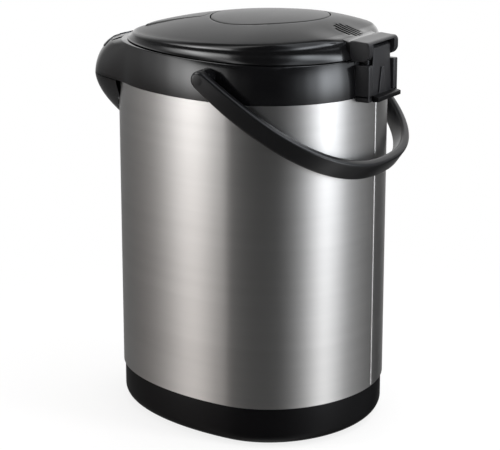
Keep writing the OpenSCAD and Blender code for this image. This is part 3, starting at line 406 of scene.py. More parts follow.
# %% Card stops
WARM, COOL = (1.0, 0.935, 0.90), (0.93, 0.975, 1.03)
CARD_RADIUS = 3.0
BRIGHTEST = 12.0
LOW_CARDS = [  # compass angle in degrees, brightness
    (-180, 0.1), (-165, 0.3), (-140, 0.4), (-122, 0.15), (-100, 0.13), (-86, 0.14), (-72, 0.17),
    (-61, 0.3), (-54, 0.55), (-47, 0.9), (-41, 0.7), (-35, 0.18), (-26, 0.06), (-8, 0.085), (20, 0.08),
    (42, 0.075), (54, 0.15), (66, 0.28), (78, 0.6), (91, 1.15), (103, 0.7), (118, 0.28), (138, 0.2),
    (153, 0.15), (160, 0.03), (172, 0.03), (180, 0.1)]
HIGH_CARDS = [
    (-180, 1.25), (-150, 1.45), (-125, 0.75), (-108, 0.32), (-86, 0.45), (-72, 0.75), (-63, 1.3),
    (-54, 3.8), (-46, 6.4), (-38, 4.2), (-30, 1.6), (-22, 0.42), (-6, 0.15), (15, 0.03), (40, 0.02),
    (52, 0.15), (65, 0.7), (78, 2.8), (91, 7.6), (103, 6.0), (114, 1.4), (135, 0.4), (155, 0.3),
    (170, 0.7), (180, 1.25)]
MID_CARDS = [
    (-180, 1.25), (-150, 1.45), (-125, 0.75), (-108, 0.32), (-90, 0.16), (-60, 0.07), (-20, 0.05),
    (20, 0.03), (60, 0.05), (95, 0.1), (125, 0.16), (155, 0.3), (170, 0.7), (180, 1.25)]
TOP_CARDS = [
    (-180, 1.25), (-150, 1.45), (-125, 0.75), (-108, 0.32), (-90, 0.5), (-74, 3.0), (-60, 8.5), (-44, 5.0),
    (-30, 0.8), (-12, 0.08), (30, 0.06), (52, 0.6), (78, 6.0), (100, 4.5), (123, 7.0), (138, 2.8),
    (152, 0.4), (170, 0.7), (180, 1.25)]


# %% [markdown]
# The dome itself is a loft of level rings that closes in a pole. Its paint is pure emission:
# the compass angle comes from the place on the dome, and so does the height.

# %% Card dome
def compass_ramp(tree, compass, stops, tint, first, last):
    """A colour ramp over the compass angle, tinted between two angles."""
    ramp = tree.nodes.new("ShaderNodeValToRGB")
    ramp.color_ramp.interpolation = "EASE"
    while len(ramp.color_ramp.elements) < len(stops):
        ramp.color_ramp.elements.new(0.5)
    for element, (angle, level) in zip(ramp.color_ramp.elements, stops):
        element.position = (angle + 180) / 360
        shades = [c if first < angle < last else 1 for c in tint]
        element.color = (*[level / BRIGHTEST * c for c in shades], 1)
    tree.links.new(compass, ramp.inputs["Fac"])
    return ramp.outputs["Color"]


def by_height(tree, z, low, high, start=0.0, end=1.0):
    """A value that changes smoothly between two heights of the dome, in degrees."""
    low, high = [CARD_RADIUS * math.sin(math.radians(angle)) for angle in (low, high)]
    return ranged(tree, z, low, high, start, end, "SMOOTHSTEP")


DOME_STEPS = 96
dome_turns = [2 * math.pi * i / DOME_STEPS for i in range(DOME_STEPS)]
dome_rings = []
for height in range(-75, 90, 5):
    z = CARD_RADIUS * math.sin(math.radians(height))
    radius = CARD_RADIUS * math.cos(math.radians(height))
    dome_rings.append([(radius * math.cos(t), radius * math.sin(t), z) for t in dome_turns])
dome_rings.append([(0, 0, CARD_RADIUS)])
cards = loft("grey_cards", dome_rings, start_cap=False)

# %% Card paint
card_paint, tree = new_material("grey_card")
tree.nodes.remove(tree.nodes["Principled BSDF"])
x, y, z = xyz(tree, object_place(tree))
compass = ranged(tree, maths(tree, "ARCTAN2", y, x), -math.pi, math.pi)
colour = compass_ramp(tree, compass, LOW_CARDS, WARM, -90, -10)
for stops, low, high in ((HIGH_CARDS, -7, 8), (MID_CARDS, 11, 19), (TOP_CARDS, 32, 39)):
    row = compass_ramp(tree, compass, stops, COOL, 10, 140)
    colour = mixed(tree, "RGBA", colour, row, by_height(tree, z, low, high))
glow = tree.nodes.new("ShaderNodeEmission")
tree.links.new(colour, glow.inputs["Color"])
FADE_FROM, FADE_TO, FADE_LEFT = 42, 52, 0.22    # degrees up the dome, and the share left above them
strength = by_height(tree, z, FADE_FROM, FADE_TO, BRIGHTEST, FADE_LEFT * BRIGHTEST)
tree.links.new(strength, glow.inputs["Strength"])
tree.links.new(glow.outputs[0], tree.nodes["Material Output"].inputs["Surface"])
cards.data.materials.append(card_paint)
for kind in ("camera", "diffuse", "transmission", "volume_scatter", "shadow"):
    setattr(cards, f"visible_{kind}", False)

# %% [markdown]
# Real lamps stand in the same places for the light that plain surfaces need. Mirror rays
# don't see them, because the dome already shows their glow. A third lamp overhead gives the
# plain light and the soft shadow below the pot.

# %% Lamps
def soft_lamp(name, place, aim_z, width, height, watts, tint=(1, 1, 1)):
    data = bpy.data.lights.new(name, "AREA")
    data.shape = "RECTANGLE"
    data.size, data.size_y = width, height
    data.energy = watts
    data.color = tint
    lamp = bpy.data.objects.new(name, data)
    lamp.location = place
    lamp.rotation_euler = (Vector((0, 0, aim_z)) - lamp.location).to_track_quat("-Z", "Y").to_euler()
    lamp.visible_glossy = False
    bpy.context.scene.collection.objects.link(lamp)
    return lamp


LAMP_AWAY, LAMP_Z = 2.4, 0.9
STRIP = (0.6, 1.6)
for name, compass_deg, watts, tint in (("warm_strip", -47, 30, WARM), ("bright_strip", 93, 40, (1, 1, 1))):
    angle = math.radians(compass_deg)
    place = Vector((LAMP_AWAY * math.cos(angle), LAMP_AWAY * math.sin(angle), LAMP_Z))
    soft_lamp(name, place, 0.3, *STRIP, watts, tint)
soft_lamp("overhead", Vector((-0.3, 0.5, 2.4)), 0.2, 1.8, 1.8, 30)
print("lamps:", [data.name for data in bpy.data.lights])

# %% [markdown]
# ## Finishes
# Three effects come back in many finishes, so each is a node group that is built once: the
# fine grain of moulded plastic, a trace of dust and handling that lifts the roughness, and
# the drawn lines of brushed metal. A group only puts out numbers. The shader stays outside.

# %% Node group tools
def effect_group(name, inputs, outputs):
    group = bpy.data.node_groups.new(name, "ShaderNodeTree")
    for label, kind, value in inputs:
        socket = group.interface.new_socket(label, in_out="INPUT", socket_type=kind)
        if value is not None:
            socket.default_value = value
    for label, kind in outputs:
        group.interface.new_socket(label, in_out="OUTPUT", socket_type=kind)
    return group, group.nodes.new("NodeGroupInput").outputs, group.nodes.new("NodeGroupOutput").inputs


def noise(tree, vector, scale, detail=2.0, roughness=0.5):
    node = tree.nodes.new("ShaderNodeTexNoise")
    for label, value in (("Vector", vector), ("Scale", scale), ("Detail", detail), ("Roughness", roughness)):
        feed(tree, node.inputs[label], value)
    return node.outputs["Fac"]

# %% Grain group
grain_group, ins, outs = effect_group(
    "moulded_grain", [("Vector", "NodeSocketVector", None), ("Size per Metre", "NodeSocketFloat", 2500.0)],
    [("Height", "NodeSocketFloat")])
fine = noise(grain_group, ins["Vector"], ins["Size per Metre"], 3.0, 0.6)
grain_group.links.new(fine, outs["Height"])

# %% Handling group
handling_group, ins, outs = effect_group(
    "handling", [("Vector", "NodeSocketVector", None), ("Base", "NodeSocketFloat", 0.3),
                 ("Amount", "NodeSocketFloat", 0.06)],
    [("Roughness", "NodeSocketFloat"), ("Mask", "NodeSocketFloat")])
cloud = noise(handling_group, ins["Vector"], 22.0, 4.0, 0.6)
speck = noise(handling_group, ins["Vector"], 420.0, 2.0, 0.5)
mask = maths(handling_group, "ADD", maths(handling_group, "MULTIPLY", cloud, 0.7),
             maths(handling_group, "MULTIPLY", speck, 0.3))
centred = maths(handling_group, "SUBTRACT", mask, 0.5)
lift = maths(handling_group, "MULTIPLY_ADD", centred, ins["Amount"], ins["Base"])
handling_group.links.new(lift, outs["Roughness"])
handling_group.links.new(mask, outs["Mask"])

# %% Brush group
def stretched(tree, vector, across, along):
    """The place with its height scaled by one factor and its two level axes by another."""
    x, y, z = xyz(tree, vector)
    return from_xyz(tree, maths(tree, "MULTIPLY", x, along), maths(tree, "MULTIPLY", y, along),
                    maths(tree, "MULTIPLY", z, across))


brush_group, ins, outs = effect_group(
    "brushed_lines", [("Vector", "NodeSocketVector", None), ("Lines per Metre", "NodeSocketFloat", 1500.0),
                      ("Run", "NodeSocketFloat", 9.0)],
    [("Lines", "NodeSocketFloat"), ("Bands", "NodeSocketFloat")])
lines = noise(brush_group, stretched(brush_group, ins["Vector"], ins["Lines per Metre"], ins["Run"]),
              1.0, 3.0, 0.7)
bands = noise(brush_group, stretched(brush_group, ins["Vector"], 90.0, 2.0), 1.0, 2.0, 0.5)
brush_group.links.new(lines, outs["Lines"])
brush_group.links.new(bands, outs["Bands"])
print("effect groups:", grain_group.name, handling_group.name, brush_group.name)

# %% [markdown]
# A plastic finish is one Principled shader. Its roughness comes from the handling group, its
# relief from the grain group, and its colour varies by a few percent, because a single flat
# colour looks like a drawing.

# %% Plastic finish
def place_group(tree, group, vector, **values):
    node = tree.nodes.new("ShaderNodeGroup")
    node.node_tree = group
    tree.links.new(vector, node.inputs["Vector"])
    set_sockets(node, **values)
    return node.outputs


def tinted(tree, mask, colour, change):
    """Base colour that moves a little either side of a value with a mask."""
    low = tuple(c * (1 - change) for c in colour)
    high = tuple(min(1, c * (1 + change)) for c in colour)
    return mixed(tree, "RGBA", low, high, mask)


def raise_relief(tree, shader, height, strength, distance):
    bump = tree.nodes.new("ShaderNodeBump")
    set_sockets(bump, Strength=strength, Distance=distance)
    tree.links.new(height, bump.inputs["Height"])
    tree.links.new(bump.outputs["Normal"], shader.inputs["Normal"])


def plastic(name, colour, roughness, grain=0.02, grain_size=2500.0, handling=0.08, **sockets):
    material, tree = new_material(name)
    shader = tree.nodes["Principled BSDF"]
    set_sockets(shader, **sockets)
    where = object_place(tree)
    touch = place_group(tree, handling_group, where, Base=roughness, Amount=handling)
    tree.links.new(touch["Roughness"], shader.inputs["Roughness"])
    tree.links.new(tinted(tree, touch["Mask"], colour, 0.08), shader.inputs["Base Color"])
    relief = place_group(tree, grain_group, where, Size_per_Metre=grain_size)
    raise_relief(tree, shader, relief["Height"], grain, 0.1 * MM)
    return material

# %% [markdown]
# The metals share one function as well. Brushed steel has its lines as a faint relief and as
# roughness, and a constant anisotropy that draws highlights out across the lines.

# %% Metal finish
def metal(name, colour, roughness, lines_per_metre=1500.0, relief=0.05, spread=0.06, **sockets):
    material, tree = new_material(name)
    shader = tree.nodes["Principled BSDF"]
    set_sockets(shader, Metallic=1.0, **sockets)
    brush = place_group(tree, brush_group, object_place(tree), Lines_per_Metre=lines_per_metre)
    rough = ranged(tree, brush["Lines"], 0.3, 0.7, roughness - spread, roughness + spread)
    tree.links.new(rough, shader.inputs["Roughness"])
    tree.links.new(tinted(tree, brush["Bands"], colour, 0.07), shader.inputs["Base Color"])
    raise_relief(tree, shader, brush["Lines"], relief, 0.05 * MM)
    return material

# %% [markdown]
# These are the finishes that the photograph shows: brushed stainless sheet, polished black
# moulding for the collar, satin black for base and bail. The blacks are nearly as dark as a
# shader can be, because all the grey on the real pot is reflection.

# %% Body finishes
finish = {}
finish["wrap_steel"] = metal("brushed_steel", (0.62, 0.61, 0.60), 0.33, 1700.0, 0.03, 0.04,
                             Anisotropic=0.5, Anisotropic_Rotation=0.25)
tree = finish["wrap_steel"].node_tree
tangent = tree.nodes.new("ShaderNodeTangent")
tangent.direction_type = "RADIAL"
tangent.axis = "Z"
tree.links.new(tangent.outputs[0], tree.nodes["Principled BSDF"].inputs["Tangent"])
finish["gloss_black"] = plastic("gloss_black", (0.0028, 0.0028, 0.0032), 0.15, grain=0.004,
                                grain_size=300.0, handling=0.05)
finish["base_black"] = plastic("satin_black", (0.0022, 0.0021, 0.0025), 0.38, grain=0.05, handling=0.1,
                               Specular_IOR_Level=0.12)
finish["bail_black"] = plastic("bail_black", (0.0035, 0.0035, 0.0042), 0.3, grain=0.02, handling=0.08)
# Painted shade: nearly black and barely reflecting, for the walls inside the vent's slots.
finish["slot_black"] = plastic("slot_black", (0.001, 0.001, 0.001), 0.6, Specular_IOR_Level=0.05)
finish["inner_black"] = plastic("inner_black", (0.008, 0.008, 0.009), 0.42, grain=0.08)

# %% [markdown]
# The inner parts show when the lid stands open or the pot is taken apart. Drawn steel for the
# vessel, bright foil for its heat shield, rubber, silicone and white pump plastic are told
# apart by colour and roughness alone, so the two functions above are enough.

# %% Inner metals and plastics
finish["pot_steel"] = metal("vessel_steel", (0.68, 0.67, 0.65), 0.24, 900.0, 0.03, 0.04)
finish["pin_steel"] = metal("pin_steel", (0.6, 0.6, 0.6), 0.22, 3000.0, 0.02, 0.04)
finish["shield"] = metal("bright_foil", (0.78, 0.78, 0.77), 0.18, 500.0, 0.08, 0.05)
finish["heater"] = metal("heater_metal", (0.45, 0.42, 0.38), 0.42, 700.0, 0.05, 0.08)
finish["motor_steel"] = metal("motor_can", (0.5, 0.5, 0.51), 0.34, 2000.0, 0.04, 0.06)
finish["magnet"] = plastic("magnet_ferrite", (0.05, 0.05, 0.055), 0.5, grain=0.15, grain_size=1500.0)
finish["feet"] = plastic("foot_rubber", (0.022, 0.022, 0.022), 0.75, grain=0.25, grain_size=1800.0)
finish["bellows_rubber"] = plastic("bellows_rubber", (0.03, 0.03, 0.03), 0.62, grain=0.15)
finish["silicone"] = plastic("silicone", (0.62, 0.59, 0.53), 0.48, grain=0.05, Subsurface_Weight=0.1)
finish["white_plastic"] = plastic("pump_white", (0.74, 0.73, 0.69), 0.36, grain=0.05)
finish["board"] = plastic("board_green", (0.02, 0.09, 0.045), 0.35, grain=0.1, grain_size=900.0)

# %% [markdown]
# The controls on the nose have a film panel, a display pane under a clear coat, small amber
# lamps and keys in three dark shades. The gauge strip is clear plastic, so it transmits light.

# %% Control finishes
finish["panel"] = plastic("panel_film", (0.012, 0.0125, 0.014), 0.28, grain=0.12, grain_size=1600.0)
finish["lcd"] = plastic("display_pane", (0.16, 0.19, 0.165), 0.08, grain=0.004, Coat_Weight=1.0)
finish["lamp"] = plastic("lamp_amber", (0.42, 0.09, 0.02), 0.2, grain=0.01)
finish["dispense"] = plastic("dispense_key", (0.022, 0.026, 0.032), 0.3, grain=0.06)
finish["unlock"] = plastic("unlock_key", (0.045, 0.018, 0.017), 0.3, grain=0.06)
finish["key_grey"] = plastic("key_grey", (0.03, 0.031, 0.034), 0.32, grain=0.06)
finish["clear"] = plastic("clear_pane", (0.75, 0.8, 0.82), 0.06, grain=0.004, Transmission_Weight=0.85,
                          IOR=1.49)

# %% [markdown]
# The parts round the hinge, that is the posts on the collar and the block on the lid, are
# duller than their glossy neighbours and painted a shade greyer: the grey is painted sheen for
# the reflections that lighten them. A small group finds that zone from the place on the pot, and
# one function blends a finish towards that painted grey and a satin roughness by such a mask.

# %% Hinge zone group
sheen_zone_group, ins, outs = effect_group(
    "hinge_sheen_zone", [("Vector", "NodeSocketVector", None), ("Start", "NodeSocketFloat", 0.08),
                   ("Half Width", "NodeSocketFloat", 0.0284)], [("Mask", "NodeSocketFloat")])
x, y, z = xyz(sheen_zone_group, ins["Vector"])
behind = maths(sheen_zone_group, "GREATER_THAN", y, ins["Start"])
within = maths(sheen_zone_group, "LESS_THAN", maths(sheen_zone_group, "ABSOLUTE", x), ins["Half Width"])
sheen_zone_group.links.new(maths(sheen_zone_group, "MULTIPLY", behind, within), outs["Mask"])

# Painted sheen: this grey stands in for the reflections that lighten the hinge parts.
HINGE_SHEEN_GREY = (0.012, 0.012, 0.0135)
HINGE_ROUGH = 0.36


# Blends a finish towards the painted sheen grey, and a satin roughness, inside the hinge zone.
def with_hinge_sheen(material, start):
    tree = material.node_tree
    shader = tree.nodes["Principled BSDF"]
    zone = place_group(tree, sheen_zone_group, object_place(tree), Start=start)["Mask"]
    for label, kind, grey in (("Base Color", "RGBA", HINGE_SHEEN_GREY), ("Roughness", "FLOAT", HINGE_ROUGH)):
        socket = shader.inputs[label]
        tree.links.new(mixed(tree, kind, socket.links[0].from_socket, grey, zone), socket)
    return material


# The collar's posts get the painted sheen grey.
with_hinge_sheen(finish["gloss_black"], 0.0832)
# The release tongue is plastic in the same painted sheen grey.
finish["hinge_grey"] = plastic("hinge_grey", HINGE_SHEEN_GREY, HINGE_ROUGH, grain=0.04, grain_size=3000.0)

# %% [markdown]
# The lid is one moulding with two surfaces: a satin dome and a gloss side band. The border
# between them runs round the crease, so a mask on height, corrected for the dome's tilt,
# blends the roughness there.

# %% Lid finish
CREASE_Z = 0.3568
DOME_TILT = 0.046


def lid_paint(name, colour, satin, gloss):
    material = plastic(name, colour, satin, grain=0.05, grain_size=3500.0, handling=0.06)
    tree = material.node_tree
    rough = tree.nodes["Principled BSDF"].inputs["Roughness"]
    x, y, z = xyz(tree, object_place(tree))
    level = maths(tree, "MULTIPLY_ADD", y, -DOME_TILT, z)
    on_dome = ranged(tree, level, CREASE_Z - 2.0 * MM, CREASE_Z - 0.3 * MM, kind="SMOOTHSTEP")
    tree.links.new(mixed(tree, "FLOAT", gloss, rough.links[0].from_socket, on_dome), rough)
    # The hinge block on the lid gets the painted sheen grey too.
    return with_hinge_sheen(material, 0.0795)


finish["lid_black"] = lid_paint("lid_black", (0.0032, 0.0032, 0.0035), 0.38, 0.15)

# %% [markdown]
# Every CAD node that stays gets its finish now, from the slot that the record names for it.
# The pieces made below reuse the same finishes.

# %% Finishes on the CAD nodes
for row in frame["record"]["subparts"]:
    cad_node = frame["nodes"][row["node"]]
    cad_node.data.materials.clear()
    cad_node.data.materials.append(finish[row["material_slot"]])

# %% [markdown]
# ## The body's outline
# Seen from above, the body is two half ellipses on one width: a long one towards the nose
# and a short one towards the hinge. The wrap's box in the frame gives the three sizes. All
# rings below start at the front, run round by +X and use the same steps, so that any two of
# them can be joined.

# %% Outline functions
wrap_low, wrap_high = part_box("body_wrap")
HALF_W = wrap_high[0]
FRONT = -wrap_low[1]
REAR = wrap_high[1] - 0.7 * MM      # without the seam's bead
WRAP_Z, COLLAR_Z = wrap_low[2], wrap_high[2]
COLLAR_H = 34 * MM
PART_Z = COLLAR_Z + COLLAR_H
PART_SLOPE = -0.015
LID_STEP = 4 * MM
LID_FRONT = FRONT - 9.6 * MM
NOSE_ROOT = FRONT - 40 * MM
NOSE_REACH = -cad_box[0][1]
NOSE_HALF_W = 46 * MM
NOSE_Z = COLLAR_Z - 4 * MM
NOSE_STEPS, SIDE_STEPS, REAR_STEPS = 44, 30, 92
ROOT_T = math.asin(NOSE_ROOT / FRONT)
NOSE_RISE = PART_Z - PART_SLOPE * LID_FRONT - NOSE_Z
print("body half width, front, rear (mm):", [round(v / MM, 1) for v in (HALF_W, FRONT, REAR)])


def ellipse_angles():
    """Angles of the shared steps, from the front by +X and the rear back to the front."""
    nose = np.linspace(-math.pi / 2, -ROOT_T, NOSE_STEPS + 1)[:-1]
    side = np.linspace(-ROOT_T, 0, SIDE_STEPS + 1)[:-1]
    rear = np.linspace(0, math.pi, REAR_STEPS + 1)
    return np.concatenate([nose, side, rear, math.pi - side[::-1], math.pi - nose[:0:-1]])


ANGLES = ellipse_angles()


def egg(inset, front=0.0, rear=0.0):
    x = (HALF_W - inset) * np.cos(ANGLES)
    depth = np.where(np.sin(ANGLES) < 0, FRONT - inset - front, REAR - inset - rear)
    return np.stack([x, depth * np.sin(ANGLES)], axis=1)


def ring(outline, z, slope=0.0):
    height = z + slope * outline[:, 1]
    return np.column_stack([outline, height])


# %% [markdown]
# The nose leaves that outline tangentially and ends blunt. A Bezier arc on each side does
# this, as in the CAD source, and its reach shrinks with height along an ellipse, so that the
# nose rolls over to the lid's edge.

# %% Nose functions
def nose_outline(inset, reach):
    a = HALF_W - inset
    start = np.array([a * math.cos(ROOT_T), -NOSE_ROOT])
    away = np.array([-a * math.sin(ROOT_T) / FRONT, -math.cos(ROOT_T)])
    pull = 30 * MM * (reach - NOSE_ROOT) / (NOSE_REACH - NOSE_ROOT)
    second = start + pull * away / np.linalg.norm(away)
    third = np.array([NOSE_HALF_W - inset, -reach])
    tip = np.array([0, -reach])
    t = np.linspace(1, 0, NOSE_STEPS + 1)[:-1, None]
    arc = (1 - t) ** 3 * start + 3 * (1 - t) ** 2 * t * second + 3 * (1 - t) * t * t * third + t ** 3 * tip
    full = egg(inset)
    full[:, 1] = np.where(np.sin(ANGLES) < 0, FRONT * np.sin(ANGLES), full[:, 1])
    full[:NOSE_STEPS] = arc
    full[-(NOSE_STEPS - 1):] = (arc[1:] * (-1, 1))[::-1]
    return full


def reach_at(z):
    share = (z - NOSE_Z) / (NOSE_RISE + 0.2 * MM)
    return LID_FRONT + (NOSE_REACH - LID_FRONT) * math.sqrt(max(0.0, 1 - share * share))


# %% [markdown]
# ## The steel wrap
# The real wrap is one sheet bent round the body and folded together at the rear. Its shape
# follows a rule, so Geometry Nodes make it: an open cylinder whose points are moved out onto
# the two half ellipses. The inputs are the real sizes, and a Solidify modifier gives the
# sheet its thickness.

# %% Wrap node tree
def geometry_tree(name, inputs):
    tree = bpy.data.node_groups.new(name, "GeometryNodeTree")
    tree.interface.new_socket("Geometry", in_out="INPUT", socket_type="NodeSocketGeometry")
    for label, kind in inputs:
        tree.interface.new_socket(label, in_out="INPUT", socket_type=kind)
    tree.interface.new_socket("Geometry", in_out="OUTPUT", socket_type="NodeSocketGeometry")
    return tree, tree.nodes.new("NodeGroupInput").outputs


def tree_end(tree, geometry, material_input):
    """Every tree ends in real meshes that carry their finish."""
    real = tree.nodes.new("GeometryNodeRealizeInstances")
    paint = tree.nodes.new("GeometryNodeSetMaterial")
    tree.links.new(geometry, real.inputs[0])
    tree.links.new(real.outputs[0], paint.inputs["Geometry"])
    tree.links.new(material_input, paint.inputs["Material"])
    tree.links.new(paint.outputs[0], tree.nodes.new("NodeGroupOutput").inputs[0])


def grown(name, tree, values):
    """An object whose mesh a node tree makes, taken as a plain mesh."""
    piece = mesh_object(name, [(0, 0, 0)], [])
    modifier = piece.modifiers.new("grow", "NODES")
    modifier.node_group = tree
    for item in tree.interface.items_tree:
        if item.in_out == "INPUT" and item.name in values:
            modifier[item.identifier] = values[item.name]
    return bake(piece)


wrap_tree, ins = geometry_tree("bent_sheet", [
    ("Half Width", "NodeSocketFloat"), ("Front", "NodeSocketFloat"), ("Rear", "NodeSocketFloat"),
    ("Foot", "NodeSocketFloat"), ("Height", "NodeSocketFloat"), ("Steps", "NodeSocketInt"),
    ("Finish", "NodeSocketMaterial")])
cylinder = wrap_tree.nodes.new("GeometryNodeMeshCylinder")
cylinder.fill_type = "NONE"
set_sockets(cylinder, Radius=1.0, Depth=1.0, Side_Segments=12)
wrap_tree.links.new(ins["Steps"], cylinder.inputs["Vertices"])
x, y, z = xyz(wrap_tree, wrap_tree.nodes.new("GeometryNodeInputPosition").outputs[0])
is_rear = maths(wrap_tree, "GREATER_THAN", y, 0.0)
extra = maths(wrap_tree, "SUBTRACT", ins["Rear"], ins["Front"])
depth = maths(wrap_tree, "MULTIPLY_ADD", is_rear, extra, ins["Front"])
centre = maths(wrap_tree, "MULTIPLY_ADD", ins["Height"], 0.5, ins["Foot"])
moved = from_xyz(wrap_tree, maths(wrap_tree, "MULTIPLY", x, ins["Half Width"]),
                 maths(wrap_tree, "MULTIPLY", y, depth),
                 maths(wrap_tree, "MULTIPLY_ADD", z, ins["Height"], centre))
shift = wrap_tree.nodes.new("GeometryNodeSetPosition")
wrap_tree.links.new(cylinder.outputs["Mesh"], shift.inputs["Geometry"])
wrap_tree.links.new(moved, shift.inputs["Position"])
tree_end(wrap_tree, shift.outputs[0], ins["Finish"])

# %% Wrap sheet
SHEET = 1.0 * MM
wrap = grown("steel_wrap", wrap_tree, {
    "Half Width": HALF_W, "Front": FRONT, "Rear": REAR, "Foot": WRAP_Z,
    "Height": COLLAR_Z - WRAP_Z, "Steps": 320, "Finish": finish["wrap_steel"]})
thick = wrap.modifiers.new("sheet", "SOLIDIFY")
thick.thickness = SHEET
thick.offset = -1
bake(wrap)
print("sheet thickness (mm):", SHEET / MM)

# %% [markdown]
# The sheet has two openings and a seam: a slot for the water gauge in front, one for the
# power inlet on the side, and the folded seam, a slim bead that runs up the rear.

# %% Wrap openings and seam
gauge_low, gauge_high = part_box("gauge_window")
GAUGE_HALF_W = 7.8 * MM
GAUGE_LIP = 3.3 * MM
inlet_low, inlet_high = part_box("power_inlet")
INLET_LIP = 2.7 * MM
combine(wrap, block("gauge_slot", (-GAUGE_HALF_W, -FRONT - 5 * MM, gauge_low[2] + GAUGE_LIP),
                    (GAUGE_HALF_W, -FRONT + 10 * MM, gauge_high[2] - GAUGE_LIP)))
combine(wrap, block("inlet_slot", (-HALF_W - 5 * MM, inlet_low[1] + INLET_LIP, inlet_low[2] + INLET_LIP),
                    (-HALF_W + 20 * MM, inlet_high[1] - INLET_LIP, inlet_high[2] - INLET_LIP)))
SEAM_X = -5 * MM
SEAM_R = 1.5 * MM
seam = lathe("seam", [(0, 1.2 * MM), (SEAM_R, 1.2 * MM), (SEAM_R, COLLAR_Z - WRAP_Z - 1.2 * MM),
                      (0, COLLAR_Z - WRAP_Z - 1.2 * MM)],
             (SEAM_X, REAR - SEAM_R + 0.45 * MM, WRAP_Z), steps=24)
join(wrap, seam)
done(wrap, "pot", finish["wrap_steel"], ["body_wrap"])

# %% [markdown]
# ## The base
# The moulded base stands back a little from the steel and rolls under with a wide radius. A
# loft of insets does it: the steps of the roll follow a quarter circle. A small round at the
# top edge lets the joint with the steel show as a fine line.

# %% Base
BASE_IN = 1.5 * MM
BASE_ROUND = 11.5 * MM
BASE_Z = 1.8 * MM
EDGE = 0.8 * MM
rings = []
for q in np.linspace(0, 90, 16):
    roll = math.radians(q)
    inset, rise = BASE_ROUND * (1 - math.sin(roll)), BASE_ROUND * (1 - math.cos(roll))
    rings.append(ring(egg(BASE_IN + inset), BASE_Z + rise))
rings.append(ring(egg(BASE_IN), WRAP_Z - EDGE))
for q in (30, 60, 90):
    roll = math.radians(q)
    rings.append(ring(egg(BASE_IN + EDGE * (1 - math.cos(roll))), WRAP_Z - EDGE + EDGE * math.sin(roll)))
SPIGOT_IN, SPIGOT_H = 3.3 * MM, 9 * MM      # the rim that stands inside the steel
SHELL = 2.5 * MM
COVER_IN, BASE_DECK = 19.5 * MM, 14 * MM    # the opening for the bottom cover and its ledge
for inset, z in ((SPIGOT_IN, WRAP_Z), (SPIGOT_IN, WRAP_Z + SPIGOT_H),
                 (SPIGOT_IN + SHELL, WRAP_Z + SPIGOT_H), (SPIGOT_IN + SHELL, BASE_DECK),
                 (COVER_IN, BASE_DECK), (COVER_IN, BASE_Z)):
    rings.append(ring(egg(inset), z))
rings.append(rings[0])
base = loft("base_moulding", rings, False, False)
done(base, "pot", finish["base_black"], ["base_shell"])

# %% [markdown]
# ## The collar
# The gloss collar is the ring between steel and lid, and it carries the nose, the hinge posts
# and the bosses of the handle. Its body is a single loft that goes up outside, over the lip,
# down the recess for the lid, across the deck to the mouth of the vessel and back below.

# %% Collar body
RECESS_IN = LID_STEP + 2.5 * MM
DECK_Z = COLLAR_Z + 20 * MM
MOUTH_R = 82 * MM
POT_Y = -6 * MM
TOP_Z = PART_Z - 0.4 * MM
LIP = 0.9 * MM
SKIRT = 8 * MM                      # how far the collar reaches down inside the steel


def recess(inset):
    return egg(inset, 5.6 * MM, -0.4 * MM)


def mouth(radius, z):
    points = [(radius * math.cos(t), POT_Y + radius * math.sin(t), z) for t in ANGLES]
    return np.array(points)


rings = [ring(nose_outline(0.5 * MM, reach_at(COLLAR_Z)), COLLAR_Z)]
for k in np.concatenate([[0.015], np.linspace(0.08, 0.93, 16)]):
    z = COLLAR_Z + k * COLLAR_H
    rings.append(ring(nose_outline(LID_STEP * k * k, reach_at(z)), z))
for q in (0, 30, 60, 90):
    roll = math.radians(q)
    outline = nose_outline(LID_STEP + LIP * (1 - math.cos(roll)) - 0.15 * MM, LID_FRONT + 2 * MM)
    rings.append(ring(outline, TOP_Z - LIP * (1 - math.sin(roll)), PART_SLOPE))
rings.append(ring(recess(RECESS_IN - 0.3 * MM), TOP_Z, PART_SLOPE))
rings.append(ring(recess(RECESS_IN), TOP_Z - 0.4 * MM, PART_SLOPE))
rings.append(ring(recess(RECESS_IN), DECK_Z))
rings.append(mouth(MOUTH_R, DECK_Z))
rings.append(mouth(MOUTH_R, DECK_Z - SHELL))
rings.append(ring(egg(6 * MM), DECK_Z - SHELL))
rings.append(ring(egg(5.8 * MM), COLLAR_Z - SKIRT))
rings.append(ring(egg(SPIGOT_IN), COLLAR_Z - SKIRT))
rings.append(ring(egg(SPIGOT_IN), COLLAR_Z))
rings.append(rings[0])
collar = loft("shoulder_ring", rings, False, False)
print("collar lip height at the rear (mm):", round((TOP_Z + PART_SLOPE * REAR) / MM, 1))

# %% [markdown]
# The collar's cuts: room for the lid's hinge cheeks over the posts, a notch for the latch and
# a bore for each button. The bores lean with the nose, square to its surface.

# %% Collar cuts
HINGE_Y = REAR + 1.5 * MM
HINGE_Z = PART_Z + 5.5 * MM
HINGE_HALF_W = 28 * MM
CHEEK_W = 7.5 * MM
INNER_HALF_W = HINGE_HALF_W - CHEEK_W
POST_TOP = HINGE_Z - 10.8 * MM
POST_Y = HINGE_Y + 7.5 * MM
combine(collar, block("cheek_room", (-HINGE_HALF_W - 1 * MM, HINGE_Y - 16 * MM, POST_TOP),
                      (HINGE_HALF_W + 1 * MM, HINGE_Y + 14 * MM, POST_TOP + 30 * MM)))
combine(collar, block("latch_notch", (-9.6 * MM, -LID_FRONT + 0.2 * MM, 333 * MM),
                      (9.6 * MM, -LID_FRONT + 4.2 * MM, 363 * MM)))

